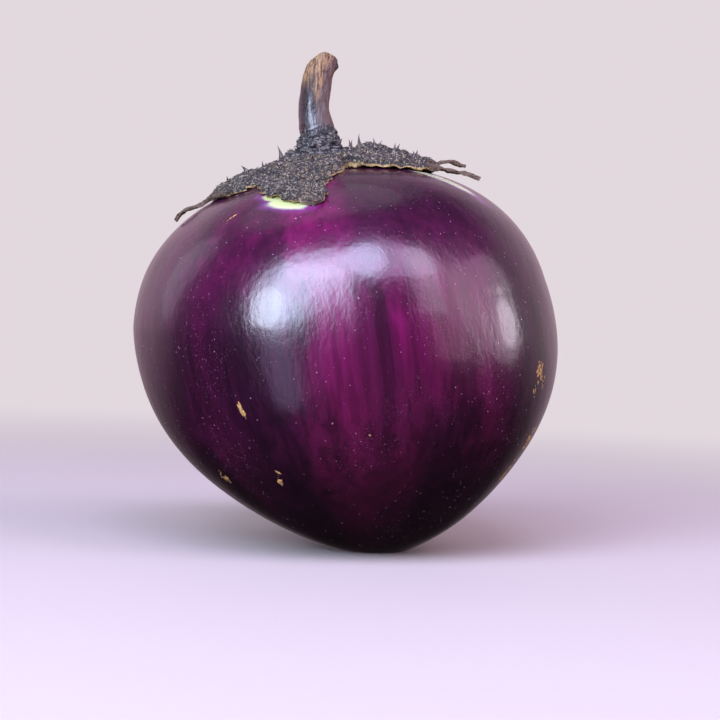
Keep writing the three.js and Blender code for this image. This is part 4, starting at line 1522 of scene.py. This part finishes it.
studio = {
    "floor": paint(176, 165, 162),
    "backdrop": paint(226, 216, 222),
    "front": paint(36, 30, 38),
    "behind": paint(212, 184, 198),
    "below": paint(34, 28, 32),
    # the floor's half width, and the distances between which it fades into the backdrop
    "floorReach": 4,
    "fade": (0.12, 0.6),
    # way to the light, distance, width, height, radiance, colour; all aim at the fruit's middle
    "aim": (-0.008, 0, 0.06),
    "lights": [
        ("windowCore", (-0.56, -0.79, 0.28), 1.15, 0.42, 0.56, 9.5, (0.74, 0.84, 1.0)),
        ("window", (-0.44, -0.81, 0.42), 1.15, 0.8, 1.0, 6.2, (0.64, 0.74, 1.0)),
        ("windowRight", (-0.33, -0.8, 0.57), 1.2, 0.44, 1.1, 6.6, (0.58, 0.7, 1.0)),
        ("windowGlow", (-0.44, -0.83, 0.36), 1.25, 1.1, 1.3, 0.8, (0.8, 0.74, 1.0)),
        ("windowFoot", (-0.47, -0.88, -0.24), 1.2, 0.44, 1.2, 1.5, (0.74, 0.6, 1.0)),
        ("upper", (0.05, -0.63, 0.78), 1.3, 0.48, 0.62, 9.5, (0.6, 0.66, 1.0)),
        ("upperGlow", (0.24, -0.61, 0.79), 1.4, 2.1, 0.64, 4.2, (0.76, 0.64, 1.0)),
        ("paneLeft", (0.69, -0.52, 0.64), 1.2, 0.46, 0.84, 2.9, (0.86, 0.8, 1.0)),
        ("paneRight", (0.83, -0.44, 0.42), 1.2, 0.5, 1.2, 1.5, (1.0, 0.62, 0.76)),
        ("side", (0.98, -0.03, 0.2), 1.1, 0.26, 0.4, 6.4, (0.98, 0.88, 1.0)),
        ("sideGlow", (0.95, -0.08, 0.3), 1.2, 0.6, 1.0, 1.7, (1.0, 0.82, 0.96)),
        ("left", (-0.86, 0.36, 0.4), 1.2, 0.5, 0.9, 0.6, (0.86, 0.8, 1.0)),
        ("top", (-0.2, 0.35, 0.92), 1.5, 1.4, 1.0, 0.4, (1.0, 0.93, 0.97)),
    ],
}


def makeStudio():
    scene = bpy.context.scene
    scene.view_settings.view_transform = "Standard"
    edge = studio["floorReach"]
    corners = [(-edge, -edge, 0), (edge, -edge, 0), (edge, edge, 0), (-edge, edge, 0)]
    floor = meshPiece("floor", corners, [(0, 1, 2, 3)])
    material, tree, shader = newMaterial("paleFloor")
    dress(tree, shader, {"Base Color": studio["floor"], "Roughness": 0.7})
    far = vectorCalc(tree, "LENGTH", objectSpot(tree))
    haze = addNode(tree, "ShaderNodeEmission", inputs={"Color": studio["backdrop"]})
    blend = addNode(tree, "ShaderNodeMixShader", inputs={0: remap(tree, far, *studio["fade"])})
    tree.links.new(shader.outputs[0], blend.inputs[1])
    tree.links.new(haze.outputs[0], blend.inputs[2])
    tree.links.new(blend.outputs[0], tree.nodes["Material Output"].inputs["Surface"])
    floor.data.materials.append(material)
    floor.visible_glossy = False

    # a soft room: pale behind, dim in front, dark below; the camera sees a plain pale backdrop
    # that the floor fades into
    world = bpy.data.worlds.new("softRoom")
    scene.world = world
    world.use_nodes = True
    tree = world.node_tree
    background = tree.nodes["Background"]
    way = addNode(tree, "ShaderNodeTexCoord").outputs["Generated"]
    _, y, z = separate(tree, way)
    room = mixColour(tree, remap(tree, y, -0.1, 0.55), studio["front"], studio["behind"])
    room = mixColour(tree, remap(tree, z, 0.15, -0.5), room, studio["below"])
    room = mixColour(tree, remap(tree, z, 0.45, 0.85), room, studio["front"])
    seen = addNode(tree, "ShaderNodeLightPath").outputs["Is Camera Ray"]
    tree.links.new(mixColour(tree, seen, room, studio["backdrop"]), background.inputs["Color"])

    for name, way, distance, width, height, radiance, colour in studio["lights"]:
        lamp = bpy.data.lights.new(name, "AREA")
        lamp.shape = "RECTANGLE" if name.startswith("pane") else "ELLIPSE"
        lamp.size = width
        lamp.size_y = height
        lamp.energy = radiance * math.pi * width * height
        lamp.color = colour
        holder = linkObject(name, lamp)
        toLight = Vector(way).normalized()
        holder.location = Vector(studio["aim"]) + toLight * distance
        holder.rotation_mode = "QUATERNION"
        holder.rotation_quaternion = toLight.to_track_quat("Z", "Y")
        holder.visible_camera = False


camera = {
    "distance": 0.5,
    "eyeHeight": 0.0673,
    "sideways": -0.0053,
    "pitchDown": 1.8,
    "roll": 2.6,
    "lens": 91.2,
}


def makeCamera():
    data = bpy.data.cameras.new("photoView")
    data.sensor_width = 36
    data.lens = camera["lens"]
    holder = linkObject("photoView", data)
    level = Matrix.Rotation(math.radians(90 - camera["pitchDown"]), 4, "X")
    roll = Matrix.Rotation(math.radians(camera["roll"]), 4, "Z")
    spot = Matrix.Translation((camera["sideways"], -camera["distance"], camera["eyeHeight"]))
    holder.matrix_world = spot @ level @ roll
    bpy.context.scene.camera = holder


makeStudio()
makeCamera()
